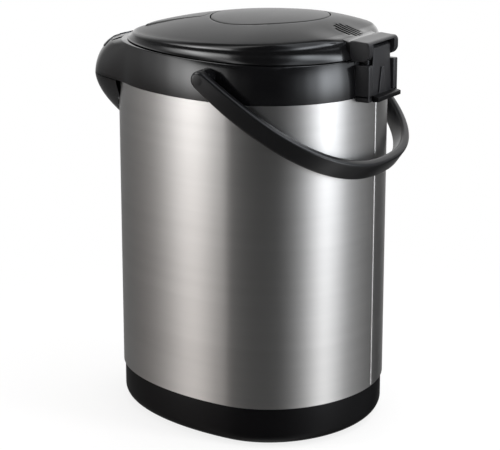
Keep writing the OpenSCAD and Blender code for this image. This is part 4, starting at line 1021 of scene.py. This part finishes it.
BUTTONS = {"reboil_button": (-29, 5.5), "unlock_button": (-16, 5.5), "dispense_button": (0, 7.5),
           "keepwarm_button": (16, 5.5), "timer_button": (29, 5.5)}
NOSE_SPAN = NOSE_REACH - LID_FRONT
ROW_SHARE = 0.455
ROW_Y = -(LID_FRONT + ROW_SHARE * NOSE_SPAN)
ROW_Z = NOSE_Z + NOSE_RISE * math.sqrt(1 - ROW_SHARE ** 2) + 0.4 * MM
ROW_TILT = math.atan(NOSE_RISE * ROW_SHARE / (NOSE_SPAN * math.sqrt(1 - ROW_SHARE ** 2)))
ROW_AXIS = (0, -math.sin(ROW_TILT), math.cos(ROW_TILT))
print("button row y, z (mm) and lean (deg):", round(ROW_Y / MM, 1), round(ROW_Z / MM, 1),
      round(math.degrees(ROW_TILT), 1))

# %% [markdown]
# The press plate, the lever and the vent all lie in the lid's curved surface. One function
# drapes a flat outline on such a surface: each ring of the profile has its own grow, its own
# depth below the surface and its own share of the outline, so a piece and the bed that it
# lies in come from the same outline.

# %% Surface functions
def draped(name, outline, profile, height, centre):
    """Closed piece over an outline: profile is (grow, depth, share) from below to the middle."""
    outline = np.array(outline)
    centre = np.array(centre)
    along = np.roll(outline, -1, 0) - np.roll(outline, 1, 0)
    normal = np.stack([along[:, 1], -along[:, 0]], 1)
    normal /= np.linalg.norm(normal, axis=1)[:, None]
    rings = []
    for grow, depth, scale in profile:
        flat = centre + (outline + normal * grow - centre) * scale
        if scale == 0:
            rings.append([(centre[0], centre[1], height(*centre) - depth)])
        else:
            rings.append([(x, y, height(x, y) - depth) for x, y in flat])
    return loft(name, rings)


def rounded(half_x, half_y, centre, radius, steps=8):
    """Rounded rectangle, anticlockwise."""
    points = []
    for sx, sy, start in ((1, -1, -90), (1, 1, 0), (-1, 1, 90), (-1, -1, 180)):
        for i in range(steps + 1):
            t = math.radians(start + 90 * i / steps)
            points.append((centre[0] + sx * (half_x - radius) + radius * math.cos(t),
                           centre[1] + sy * (half_y - radius) + radius * math.sin(t)))
    return points


def filled(outline, most):
    """The same outline with extra points, so that no side is longer than a limit."""
    result = []
    for a, b in zip(outline, outline[1:] + outline[:1]):
        parts = max(1, math.ceil(math.dist(a, b) / most))
        result += [(a[0] + (b[0] - a[0]) * i / parts, a[1] + (b[1] - a[1]) * i / parts)
                   for i in range(parts)]
    return result


# %% [markdown]
# Each button slides in its own bore with a fine gap round it. A bore is a turned cutter on the
# button's leaning axis, a little wider than the button.

# %% Collar bores
BORE_GAP, BORE_DEPTH, BORE_ABOVE = 0.3 * MM, 16 * MM, 20 * MM
for x, radius in BUTTONS.values():
    wide = radius * MM + BORE_GAP
    bore = [(0, -BORE_DEPTH), (wide, -BORE_DEPTH), (wide, BORE_ABOVE), (0, BORE_ABOVE)]
    combine(collar, lathe("bore", bore, (x * MM, ROW_Y, ROW_Z), ROW_AXIS, 64))

# %% [markdown]
# Posts, knuckle pillars and handle bosses are simple soft blocks and turned pieces that are
# let into the collar. The photograph shows the posts' feet hanging over the steel's edge.

# %% Collar additions
KNUCKLE = 4.1 * MM
FOOT_DROP = 3 * MM
BOSS_R, BOSS_FROM, BOSS_TO = 8 * MM, 98.5 * MM, 112.4 * MM
PIVOT_Y, PIVOT_Z = -16 * MM, COLLAR_Z + 21 * MM


def steel_clearance(gap, low, high):
    """The body's form, grown by a gap, that keeps a neighbour off the steel."""
    return loft("steel_clearance", [ring(egg(-gap), low), ring(egg(-gap), high)])


parts = []
for side in (-1, 1):
    inner, outer = sorted((side * INNER_HALF_W, side * HINGE_HALF_W))
    parts.append(block("post", (inner, HINGE_Y - 6 * MM, COLLAR_Z), (outer, POST_Y, POST_TOP), 0.9 * MM))
    foot = block("post_foot", (inner, HINGE_Y - 8 * MM, COLLAR_Z - FOOT_DROP),
                 (outer, POST_Y, COLLAR_Z + FOOT_DROP), 0.8 * MM)
    parts.append(combine(foot, steel_clearance(0.3 * MM, COLLAR_Z - 9 * MM, COLLAR_Z + 0.5 * MM)))
    near, far = sorted((side * 11 * MM, side * (INNER_HALF_W - 0.8 * MM)))
    parts.append(block("pillar", (near, REAR - 3 * MM, COLLAR_Z + 2 * MM),
                       (far, HINGE_Y + 2.2 * MM, HINGE_Z), 0.4 * MM))
    parts.append(lathe("knuckle", [(0, near), (KNUCKLE, near), (KNUCKLE, far), (0, far)],
                       (0, HINGE_Y, HINGE_Z), (1, 0, 0), 64))
    edge = 0.6 * MM
    boss = [(0, BOSS_FROM), (BOSS_R, BOSS_FROM), (BOSS_R, BOSS_TO - edge)]
    boss += [(BOSS_R - edge, BOSS_TO), (0, BOSS_TO)]
    parts.append(lathe("boss", boss, (0, PIVOT_Y, PIVOT_Z), (side, 0, 0), 64))
join(collar, *parts)
done(collar, "pot", finish["gloss_black"], ["collar"])

# %% [markdown]
# ## The spout cover
# The lower half of the nose is a hanging cup with a soft underside. It narrows downwards and
# its rear edges stand a little off the steel, so a dark line shows there. The same Bezier
# outline is stretched for each level.

# %% Spout cover
COVER_DROP = 45 * MM
COVER_LINE = 0.6 * MM
COVER_BACK = 136 * MM
COVER_GAP = 0.6 * MM


def cover_ring(k, inset, z):
    start = FRONT - 12 * MM
    reach = start + (NOSE_REACH - start - inset) * (1 - k * k) ** 0.9
    outline = nose_outline(inset, NOSE_REACH - inset)
    half = outline[:NOSE_STEPS - 9].copy()
    half[:, 0] *= 1 - 0.4 * k ** 1.3
    stretch = (reach - COVER_BACK) / (NOSE_REACH - inset - COVER_BACK)
    half[:, 1] = -COVER_BACK + (half[:, 1] + COVER_BACK) * stretch
    left = (half[1:] * (-1, 1))[::-1]
    return ring(np.concatenate([half, left]), z)


COVER_LEVELS = 1 - np.linspace(0, 1, 22) ** 1.6


def cover_form(name, inset, top):
    drop = COVER_DROP - COVER_LINE - inset
    rings = [cover_ring(k, inset, COLLAR_Z - COVER_LINE - drop * k) for k in COVER_LEVELS]
    rings.append(cover_ring(0, inset, top))
    return loft(name, rings)


cover = cover_form("nose_cover", 0.0, COLLAR_Z - COVER_LINE + 0.01 * MM)
combine(cover, cover_form("cover_hollow", 2.5 * MM, COLLAR_Z + 3 * MM))
combine(cover, steel_clearance(COVER_GAP, COLLAR_Z - 60 * MM, COLLAR_Z + 9 * MM))
nozzle_low, nozzle_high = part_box("outlet_nozzle")
NOZZLE_Y = 0.5 * (nozzle_low[1] + nozzle_high[1])
OUTLET_R = 7.5 * MM
combine(cover, lathe("outlet_hole", [(0, 0), (OUTLET_R, 0), (OUTLET_R, 60 * MM), (0, 60 * MM)],
                     (0, NOZZLE_Y, COLLAR_Z - 70 * MM), steps=64))
done(cover, "pot", finish["gloss_black"], ["spout_cover"])

# %% [markdown]
# ## The lid
# The lid is a side band, a rolled crease and a low dome that falls towards the nose. The
# height of the dome has a closed form: it depends on how far out a point lies, as a share of
# the dome's own outline. Beyond the dome the surface follows the crease's quarter circle.

# %% Lid surface
CREASE_H = 15.8 * MM
CREASE_R = 9.6 * MM
CREASE_IN = 14.2 * MM
ROLL_END = math.radians(72)         # where the roll meets the dome without a kink
DOME_IN = CREASE_IN - CREASE_R * math.cos(ROLL_END)
DOME_FOOT = CREASE_H - CREASE_R * (1 - math.sin(ROLL_END))
DOME_H = 31.2 * MM - DOME_FOOT
LID_REAR = REAR - 3.6 * MM
DOME_SIDE = HALF_W - LID_STEP - DOME_IN
DOME_FRONT = LID_FRONT - DOME_IN
DOME_REAR = LID_REAR - DOME_IN


def smooth(value):
    value = min(1.0, max(0.0, value))
    return value * value * (3 - 2 * value)


def rear_dip(x, y):
    """The dome sinks a little towards the hinge, where it runs into the block's top."""
    return 2.8 * MM * smooth((y - 38 * MM) / (25 * MM)) * (1 - smooth((abs(x) - 18 * MM) / (34 * MM)))


def lid_height(x, y):
    k = math.hypot(x / DOME_SIDE, y / (DOME_REAR if y > 0 else DOME_FRONT))
    if k <= 1:
        return PART_Z + DOME_FOOT + DOME_H * (1 - k * k) + DOME_TILT * y * k - rear_dip(x, y)
    out = min(math.hypot(x, y) * (1 - 1 / k) + CREASE_IN - DOME_IN, CREASE_R)
    edge = PART_Z + CREASE_H + DOME_TILT * y / k - rear_dip(x, y)
    return edge - CREASE_R + math.sqrt(CREASE_R ** 2 - out ** 2)


def lid_ring(inset, z, slope):
    outline = egg(LID_STEP + inset, 5.6 * MM, -0.4 * MM)
    return ring(outline, z, slope)


def dome_ring(k, drop=0.0):
    outline = egg(LID_STEP + DOME_IN, 5.6 * MM, -0.4 * MM) * k
    z = PART_Z + DOME_FOOT - drop + DOME_H * (1 - k * k) + DOME_TILT * outline[:, 1] * k
    return np.column_stack([outline, z])


# %% [markdown]
# The side band leans in from a small step at its foot and turns upright before it rolls over
# into the dome. Three points of a quadratic Bezier give that stretch, as inset and height
# above the parting line.

# %% Lid form
BAND_FOOT = np.array((1.3, 2.04)) * MM
BAND_BEND = np.array((4.17, 5.74)) * MM
ROLL_START = math.radians(15)
ROLL_SLOPE = DOME_TILT * math.sin(ROLL_START) / math.sin(ROLL_END)
BAND_TOP = np.array((CREASE_IN - CREASE_R * math.cos(ROLL_START),
                     CREASE_H - CREASE_R * (1 - math.sin(ROLL_START))))


ROLL_STEPS, DOME_RINGS = 12, 30
DIPPED = DOME_RINGS + 7             # the dome and the upper part of the roll sink at the rear


def lid_form(name, drop, foot, edge):
    """The lid's outer form, let down by drop, with a small round at its lower edge."""
    rings = []
    for q in (0, 45, 90) if edge else (90,):
        roll = math.radians(q)
        inset, rise = edge * (1 - math.sin(roll)), edge * (1 - math.cos(roll))
        rings.append(lid_ring(drop + inset, foot + rise, PART_SLOPE))
    for t in np.linspace(0, 1, 9)[:-1]:
        inset, height = (1 - t) ** 2 * BAND_FOOT + 2 * (1 - t) * t * BAND_BEND + t * t * BAND_TOP
        slope = PART_SLOPE + (ROLL_SLOPE - PART_SLOPE) * height / BAND_TOP[1]
        rings.append(lid_ring(drop + inset, PART_Z + height - drop, slope))
    for roll in np.linspace(ROLL_START, ROLL_END, ROLL_STEPS):
        rings.append(lid_ring(drop + CREASE_IN - CREASE_R * math.cos(roll),
                              PART_Z + CREASE_H - drop - CREASE_R * (1 - math.sin(roll)),
                              DOME_TILT * math.sin(roll) / math.sin(ROLL_END)))
    rings += [dome_ring(k, drop) for k in np.linspace(0.97, 0.04, DOME_RINGS)]
    for one in rings[-DIPPED:]:
        one[:, 2] -= [rear_dip(x, y) for x, y in one[:, :2]]
    rings.append([(0, 0, PART_Z + DOME_FOOT - drop + DOME_H)])
    return loft(name, rings)


lid = lid_form("lid_cover", 0.0, PART_Z + 0.4 * MM, 0.5 * MM)
combine(lid, lid_form("lid_hollow", 3 * MM, PART_Z - 3 * MM, 0.0))
print("dome top (mm):", round(lid_height(0, 0) / MM, 1))

# %% [markdown]
# The hinge block joins the lid's rear: a top that runs on smoothly from the dome, and a cheek
# on each side that turns on the pin. It is a loft of upright sections from front to rear. The
# top of each section blends from the dome's height to the block's own, its side edges grow
# round as it leaves the dome, and the rear corner and the foot follow quarter circles.

# %% Hinge block
BLOCK_REAR_TOP = HINGE_Z + 9 * MM
CHEEK_R = 7.5 * MM
CORNER = 3.6 * MM
BLOCK_FRONT = HINGE_Y - 31 * MM
CHEEK_FRONT = HINGE_Y - 20 * MM     # the cheeks reach down from here to the rear
LEAVES = 68 * MM                    # y where the block's top begins to leave the dome


def off_dome(y):
    return smooth((y - LEAVES) / (14 * MM))


def block_top(x, y):
    t = off_dome(y)
    own = BLOCK_REAR_TOP + 1.5 * MM * (1 - smooth((y - 72 * MM) / (24 * MM)))
    back = max(0.0, y - (HINGE_Y + CHEEK_R - CORNER))
    own -= CORNER - math.sqrt(CORNER ** 2 - back ** 2)
    return (1 - t) * (lid_height(x, min(y, 80 * MM)) - 0.12 * MM) + t * own


def block_section(y):
    below = max(0.0, y - HINGE_Y)
    bottom = HINGE_Z - math.sqrt(CHEEK_R ** 2 - below ** 2)
    if y < CHEEK_FRONT:
        bottom = HINGE_Z
    edge = 0.2 * MM + 0.9 * MM * off_dome(y)
    flat = HINGE_HALF_W - edge
    points = [(x, block_top(x, y)) for x in np.linspace(-flat, flat, 25)]
    z = points[0][1]
    turn = [(flat + edge * math.sin(q), z - edge * (1 - math.cos(q))) for q in np.radians((22, 45, 68, 90))]
    points = [(-x, height) for x, height in turn[::-1]] + points + turn
    points = [(-HINGE_HALF_W, bottom)] + points + [(HINGE_HALF_W, bottom)]
    return [(x, y, height) for x, height in points]


section_y = list(np.linspace(BLOCK_FRONT, CHEEK_FRONT - 0.01 * MM, 9))
section_y += list(np.linspace(CHEEK_FRONT, HINGE_Y, 9))
rear_turn = np.radians((12, 24, 34, 44, 52, 60, 68, 76, 84, 89.9))
section_y += [HINGE_Y + CHEEK_R * math.sin(q) for q in rear_turn]
hinge = loft("hinge_block", [block_section(y) for y in section_y])
outward(hinge)
combine(hinge, block("between_cheeks", (-INNER_HALF_W, HINGE_Y - 8.6 * MM, PART_Z - 40 * MM),
                     (INNER_HALF_W, HINGE_Y + 30 * MM, HINGE_Z + 7 * MM)))

# %% [markdown]
# The lid's openings are draped cutters: the press plate's well, the lever's pocket and the
# seat of the vent. Each cutter flares at the surface, which leaves the fine rounded edge that
# draws a light line beside every dark joint.

# %% Lid openings
PRESS_Y = -14 * MM
PRESS_R = 52.9 * MM
PRESS_GAP = 0.7 * MM
VENT_R = 13 * MM
VENT_Y = 0.5 * sum(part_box("vent_grille")[i][1] for i in (0, 1))
LEVER_HALF_W = 22 * MM
LEVER_Y1 = PRESS_Y - PRESS_R - 3.6 * MM
LEVER_HALF_L = 31 * MM
LEVER_MIDDLE = (0, LEVER_Y1 - LEVER_HALF_L)
print("vent centre y (mm):", round(VENT_Y / MM, 1))


def circle(radius, cx, cy, steps=128):
    return [(cx + radius * math.cos(2 * math.pi * i / steps), cy + radius * math.sin(2 * math.pi * i / steps))
            for i in range(steps)]


def roof(x, y):
    return max(lid_height(x, y), block_top(x, y))


def pocket(name, outline, depth, centre, flare=0.4 * MM, height=lid_height):
    above = 3 * MM
    profile = [(0, depth, share) for share in (0, 0.5, 1)]
    profile += [(0, flare, 1), (flare * 0.3, flare * 0.3, 1), (flare, 0, 1), (flare * 1.3, -flare, 1)]
    profile += [(flare * 1.3, -above, 1), (0, -above, 0.5), (0, -above, 0)]
    return draped(name, outline, profile, height, centre)


def lever_form(wider, longer, radius):
    """The lever's rounded outline, grown to each side and to each end."""
    return filled(rounded(LEVER_HALF_W + wider, LEVER_HALF_L + longer, LEVER_MIDDLE, radius), 4 * MM)


press_edge = circle(PRESS_R + PRESS_GAP, 0, PRESS_Y, 192)
SEAT_DEPTH = 11 * MM
LEVER_DEPTH = 4.4 * MM
combine(lid, pocket("press_well", press_edge, 30 * MM, (0, PRESS_Y)))
combine(lid, pocket("lever_pocket", lever_form(1.3 * MM, 0.8 * MM, 3.6 * MM), LEVER_DEPTH, LEVER_MIDDLE))
seat_edge = circle(VENT_R + 0.04 * MM, 0, VENT_Y, 96)
for piece in (lid, hinge):
    combine(piece, pocket("vent_seat", seat_edge, SEAT_DEPTH, (0, VENT_Y), 0.05 * MM, roof))
join(lid, hinge)

# %% [markdown]
# The lever's pocket needs a floor. It is a thin inner piece that only shows in the dark of
# the joint and when the lever is lifted.

# %% Lever pan
PAN_DEPTH = 7.2 * MM
pan_profile = [(0, PAN_DEPTH, share) for share in (0, 0.5, 1)]
pan_profile += [(0, LEVER_DEPTH, share) for share in (1, 0.5, 0)]
pan = draped("lever_pan", lever_form(2 * MM, 1.5 * MM, 4 * MM), pan_profile, lid_height, LEVER_MIDDLE)
join(lid, pan)
done(lid, "lid", finish["lid_black"], ["lid_shell"])

# %% [markdown]
# ## Press plate, lever and vent
# The press plate and the lever are draped pieces with a rounded rim, flush with the dome.
# Below the plate a turned rim reaches down to the pump's pusher.

# %% Press plate
RIM = 1.2 * MM
PLATE_T, SKIRT_H = 3 * MM, 9 * MM
quarter = np.radians((0, 22, 45, 68, 90))
rounded_rim = [(-RIM * (1 - math.cos(q)), RIM * (1 - math.sin(q)), 1) for q in quarter]
plate_profile = [(-2.6 * MM, PLATE_T, share) for share in (0, 0.6, 1)]
plate_profile += [(-2.4 * MM, SKIRT_H, 1), (0, SKIRT_H, 1)] + rounded_rim
plate_profile += [(-RIM, 0, s) for s in np.linspace(0.96, 0.08, 14)] + [(0, 0, 0)]
press = draped("press_disc", circle(PRESS_R, 0, PRESS_Y, 192), plate_profile, lid_height, (0, PRESS_Y))
press_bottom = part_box("press_plate")[0][2]
for vertex in press.data.vertices:
    vertex.co.z = max(vertex.co.z, press_bottom)
PUSHER = ((29, 364.3), (35, 364.3), (35, 367), (29, 367), (29, 364.3))      # mm
join(press, lathe("pusher_rim", [(radius * MM, z * MM) for radius, z in PUSHER], (0, PRESS_Y, 0)))
done(press, "press", finish["lid_black"], ["press_plate"])

# %% [markdown]
# The lever is a thin flap with a barrel for its pin. It lifts a little at its front end, so
# the finished flap turns about that pin by a degree or so.

# %% Lid lever
LEVER_HINGE = Vector((0, LEVER_Y1 - 3 * MM, PART_Z + CREASE_H + 6.7 * MM))
skin = 2.2 * MM
flap_profile = [(-0.4 * MM, skin, share) for share in (0, 0.5, 1)] + [(0, skin - 0.4 * MM, 1)]
flap_profile += rounded_rim + [(-RIM, 0, 0.75), (-RIM, 0, 0.5), (-RIM, 0, 0.25), (0, 0, 0)]
flap = draped("lid_flap", lever_form(0, 0, 3 * MM), flap_profile, lid_height, LEVER_MIDDLE)
BARREL_R, BARREL_HALF = 1.5 * MM, 21 * MM
barrel = [(0, -BARREL_HALF), (BARREL_R, -BARREL_HALF), (BARREL_R, BARREL_HALF), (0, BARREL_HALF)]
join(flap, lathe("flap_barrel", barrel, LEVER_HINGE - Vector((0, 0, 0.3 * MM)), (1, 0, 0), 32))
FLAP_LIFT = math.radians(-1.4)
to_hinge = Matrix.Translation(LEVER_HINGE)
flap.data.transform(to_hinge @ Matrix.Rotation(FLAP_LIFT, 4, "X") @ to_hinge.inverted())
done(flap, "lever", finish["lid_black"], ["lid_lever"])

# %% [markdown]
# The vent is a small round grille with five slots that run to the rear. The slots repeat at
# an even pitch, each as long as the disc allows, so a node tree makes their cutters: a line
# of points, and on each a box whose length comes from the circle's own equation.

# %% Vent slot tree
slot_tree, ins = geometry_tree("vent_slots", [
    ("Count", "NodeSocketInt"), ("Pitch", "NodeSocketFloat"), ("Width", "NodeSocketFloat"),
    ("Reach", "NodeSocketFloat"), ("Centre", "NodeSocketVector"), ("Finish", "NodeSocketMaterial")])
row = slot_tree.nodes.new("GeometryNodeMeshLine")
span = maths(slot_tree, "MULTIPLY", maths(slot_tree, "SUBTRACT", ins["Count"], 1.0), ins["Pitch"])
slot_tree.links.new(ins["Count"], row.inputs["Count"])
first_place = from_xyz(slot_tree, maths(slot_tree, "MULTIPLY", span, -0.5))
slot_tree.links.new(first_place, row.inputs["Start Location"])
slot_tree.links.new(from_xyz(slot_tree, ins["Pitch"]), row.inputs["Offset"])
x, y, z = xyz(slot_tree, slot_tree.nodes.new("GeometryNodeInputPosition").outputs[0])
left = maths(slot_tree, "SUBTRACT", maths(slot_tree, "MULTIPLY", ins["Reach"], ins["Reach"]),
             maths(slot_tree, "MULTIPLY", x, x))
length = maths(slot_tree, "MULTIPLY", maths(slot_tree, "SQRT", left), 2.0)
box = slot_tree.nodes.new("GeometryNodeMeshCube")
box.inputs["Size"].default_value = (1, 1, 1)
copies = slot_tree.nodes.new("GeometryNodeInstanceOnPoints")
slot_tree.links.new(row.outputs["Mesh"], copies.inputs["Points"])
slot_tree.links.new(box.outputs["Mesh"], copies.inputs["Instance"])
slot_tree.links.new(from_xyz(slot_tree, ins["Width"], length, 50 * MM), copies.inputs["Scale"])
move = slot_tree.nodes.new("GeometryNodeTransform")
slot_tree.links.new(copies.outputs[0], move.inputs["Geometry"])
slot_tree.links.new(ins["Centre"], move.inputs["Translation"])
tree_end(slot_tree, move.outputs[0], ins["Finish"])

# %% Vent grille
SLOT_W, SLOT_PITCH = 3.1 * MM, 4.9 * MM
vent_top = 0.02 * MM
vent_profile = [(0, 3 * MM, share) for share in (0, 0.5, 1)] + [(0, vent_top + 0.1 * MM, 1)]
vent_profile += [(-0.1 * MM, vent_top, share) for share in (1, 0.8, 0.6, 0.4, 0.2)] + [(0, vent_top, 0)]
vent = draped("steam_grille", circle(VENT_R, 0, VENT_Y, 96), vent_profile, roof, (0, VENT_Y))
slots = grown("slots", slot_tree, {
    "Count": 5, "Pitch": SLOT_PITCH, "Width": SLOT_W, "Reach": VENT_R - 0.9 * MM,
    "Centre": (0, VENT_Y, PART_Z + 20 * MM), "Finish": finish["lid_black"]})
combine(vent, slots)
done(vent, "lid", finish["lid_black"], ["vent_grille"])
# The walls of the slots get painted shade, darker and duller than the grille.
second_finish(vent, finish["slot_black"], lambda place, normal: abs(normal.z) < 0.5)

# %% [markdown]
# ## The release tongue
# Between the posts hangs a flat tongue on the hinge pin, with a wedge-shaped rib on its
# lower half and a ledge for the thumb. It is built from plates with softened edges.

# %% Release tongue
tongue_y = HINGE_Y + 5.6 * MM
inner = INNER_HALF_W - 0.7 * MM
neck = 10.5 * MM
tongue_outline = [(-inner, COLLAR_Z - 3 * MM), (inner, COLLAR_Z - 3 * MM), (inner - 4 * MM, HINGE_Z + 3 * MM),
                  (4 * MM - inner, HINGE_Z + 3 * MM)]
tongue = plate("release_tongue", tongue_outline, 1, tongue_y - 1.3 * MM, tongue_y, 0.5 * MM)
rib_top = POST_TOP - 4 * MM
rib_side = [(-7 * MM, COLLAR_Z), (7 * MM, COLLAR_Z), (2 * MM, rib_top), (-2 * MM, rib_top)]
rib = plate("rib", rib_side, 1, tongue_y - 0.2 * MM, tongue_y + 1.4 * MM, 0.6 * MM)
LEDGE_HALF_W = 22 * MM
ledge_side = [(POST_Y + 0.5 * MM, COLLAR_Z - 3 * MM), (POST_Y + 6.5 * MM, COLLAR_Z - 2.6 * MM),
              (POST_Y + 6.5 * MM, COLLAR_Z + 1.2 * MM), (POST_Y + 0.5 * MM, COLLAR_Z + 2.4 * MM)]
ledge = plate("ledge", ledge_side, 0, -LEDGE_HALF_W, LEDGE_HALF_W, 0.6 * MM)
root = block("ledge_root", (-inner, tongue_y - 2 * MM, COLLAR_Z - 3 * MM),
             (inner, POST_Y + 1 * MM, COLLAR_Z + 2.4 * MM), 0.4 * MM)
sleeve = lathe("sleeve", [(0, -neck), (KNUCKLE, -neck), (KNUCKLE, neck), (0, neck)],
               (0, HINGE_Y, HINGE_Z), (1, 0, 0), 64)
join(tongue, rib, ledge, root, sleeve)
# The tongue's grey is painted sheen. Its ledge keeps plain satin black.
done(tongue, "detach", finish["hinge_grey"], ["detach_lever"])
second_finish(tongue, finish["base_black"], lambda place, normal: place.y > POST_Y + 0.4 * MM)

# %% [markdown]
# ## The handle
# The folded bail is a rounded bar along a superellipse: nearly straight arms and a full bow.
# This is a path, so the bar is swept by Geometry Nodes. A mesh line becomes the path, its
# points are set by the superellipse's equation, and a rounded rectangle is the section.

# %% Bail node tree
bail_tree, ins = geometry_tree("swept_bail", [
    ("Half Width", "NodeSocketFloat"), ("Reach", "NodeSocketFloat"), ("Power", "NodeSocketFloat"),
    ("Steps", "NodeSocketInt"), ("Band", "NodeSocketFloat"), ("Thickness", "NodeSocketFloat"),
    ("Corner", "NodeSocketFloat"), ("Finish", "NodeSocketMaterial")])
path_points = bail_tree.nodes.new("GeometryNodeMeshLine")
bail_tree.links.new(ins["Steps"], path_points.inputs["Count"])
index = bail_tree.nodes.new("GeometryNodeInputIndex").outputs[0]
share = maths(bail_tree, "DIVIDE", index, maths(bail_tree, "SUBTRACT", ins["Steps"], 1.0))
angle = maths(bail_tree, "MULTIPLY", share, math.pi)
cosine = maths(bail_tree, "COSINE", angle)
sine = maths(bail_tree, "MAXIMUM", maths(bail_tree, "SINE", angle), 0.0)
exponent = maths(bail_tree, "DIVIDE", 2.0, ins["Power"])
across = maths(bail_tree, "MULTIPLY", maths(bail_tree, "SIGN", cosine),
               maths(bail_tree, "POWER", maths(bail_tree, "ABSOLUTE", cosine), exponent))
out = maths(bail_tree, "POWER", sine, exponent)
spot = from_xyz(bail_tree, maths(bail_tree, "MULTIPLY", across, ins["Half Width"]),
                maths(bail_tree, "MULTIPLY", out, ins["Reach"]))
bend = bail_tree.nodes.new("GeometryNodeSetPosition")
bail_tree.links.new(path_points.outputs["Mesh"], bend.inputs["Geometry"])
bail_tree.links.new(spot, bend.inputs["Position"])
to_curve = bail_tree.nodes.new("GeometryNodeMeshToCurve")
bail_tree.links.new(bend.outputs[0], to_curve.inputs[0])
upright = bail_tree.nodes.new("GeometryNodeSetCurveNormal")
upright.mode = "Z_UP"
bail_tree.links.new(to_curve.outputs[0], upright.inputs["Curve"])
section = bail_tree.nodes.new("GeometryNodeCurvePrimitiveQuadrilateral")
bail_tree.links.new(ins["Thickness"], section.inputs["Width"])
bail_tree.links.new(ins["Band"], section.inputs["Height"])
corner = bail_tree.nodes.new("GeometryNodeFilletCurve")
corner.mode = "POLY"
corner.inputs["Count"].default_value = 6
bail_tree.links.new(section.outputs[0], corner.inputs["Curve"])
bail_tree.links.new(ins["Corner"], corner.inputs["Radius"])
sweep = bail_tree.nodes.new("GeometryNodeCurveToMesh")
sweep.inputs["Fill Caps"].default_value = True
bail_tree.links.new(upright.outputs[0], sweep.inputs["Curve"])
bail_tree.links.new(corner.outputs[0], sweep.inputs["Profile Curve"])
tree_end(bail_tree, sweep.outputs[0], ins["Finish"])

# %% Bail
BAIL_HALF_W = 117 * MM
BAIL_T = 8 * MM
BAIL_H = 17.8 * MM
BAIL_PIVOT = Vector((0, PIVOT_Y, PIVOT_Z))
bail = grown("bail_handle", bail_tree, {
    "Half Width": BAIL_HALF_W, "Reach": 141 * MM, "Power": 2.4, "Steps": 181, "Band": BAIL_H,
    "Thickness": BAIL_T, "Corner": 2.6 * MM, "Finish": finish["base_black"]})
outward(bail)
for vertex in bail.data.vertices:      # the band is a little narrower at its pivots
    share = min(1.0, max(0.0, vertex.co.y / (60 * MM)))
    vertex.co.z *= 0.86 + 0.14 * math.sin(0.5 * math.pi * share)
print("bail points:", len(bail.data.vertices))

# %% [markdown]
# Each arm ends in a round knob over its pivot pin. The knobs are turned pieces. Band and
# knobs then swing down together to the folded rest.

# %% Bail knobs
hub = 7.74 * MM
KNOB_IN, KNOB_H = 3.2 * MM, 3.4 * MM
FOLDED = math.radians(-36)
for side in (-1, 1):
    knob_profile = [(0, 0), (hub - 0.8 * MM, 0), (hub, 0.8 * MM), (hub, BAIL_T - KNOB_H)]
    for q in np.radians((15, 30, 45, 60, 75, 90)):
        knob_profile.append((hub - KNOB_IN * (1 - math.cos(q)), BAIL_T - KNOB_H * (1 - math.sin(q))))
    knob_profile.append((0, BAIL_T))
    join(bail, lathe("knob", knob_profile, (side * (BAIL_HALF_W - BAIL_T / 2), 0, 0), (side, 0, 0), 72))
bail.data.transform(Matrix.Translation(BAIL_PIVOT) @ Matrix.Rotation(FOLDED, 4, "X"))
done(bail, "bail", finish["bail_black"], ["bail"])
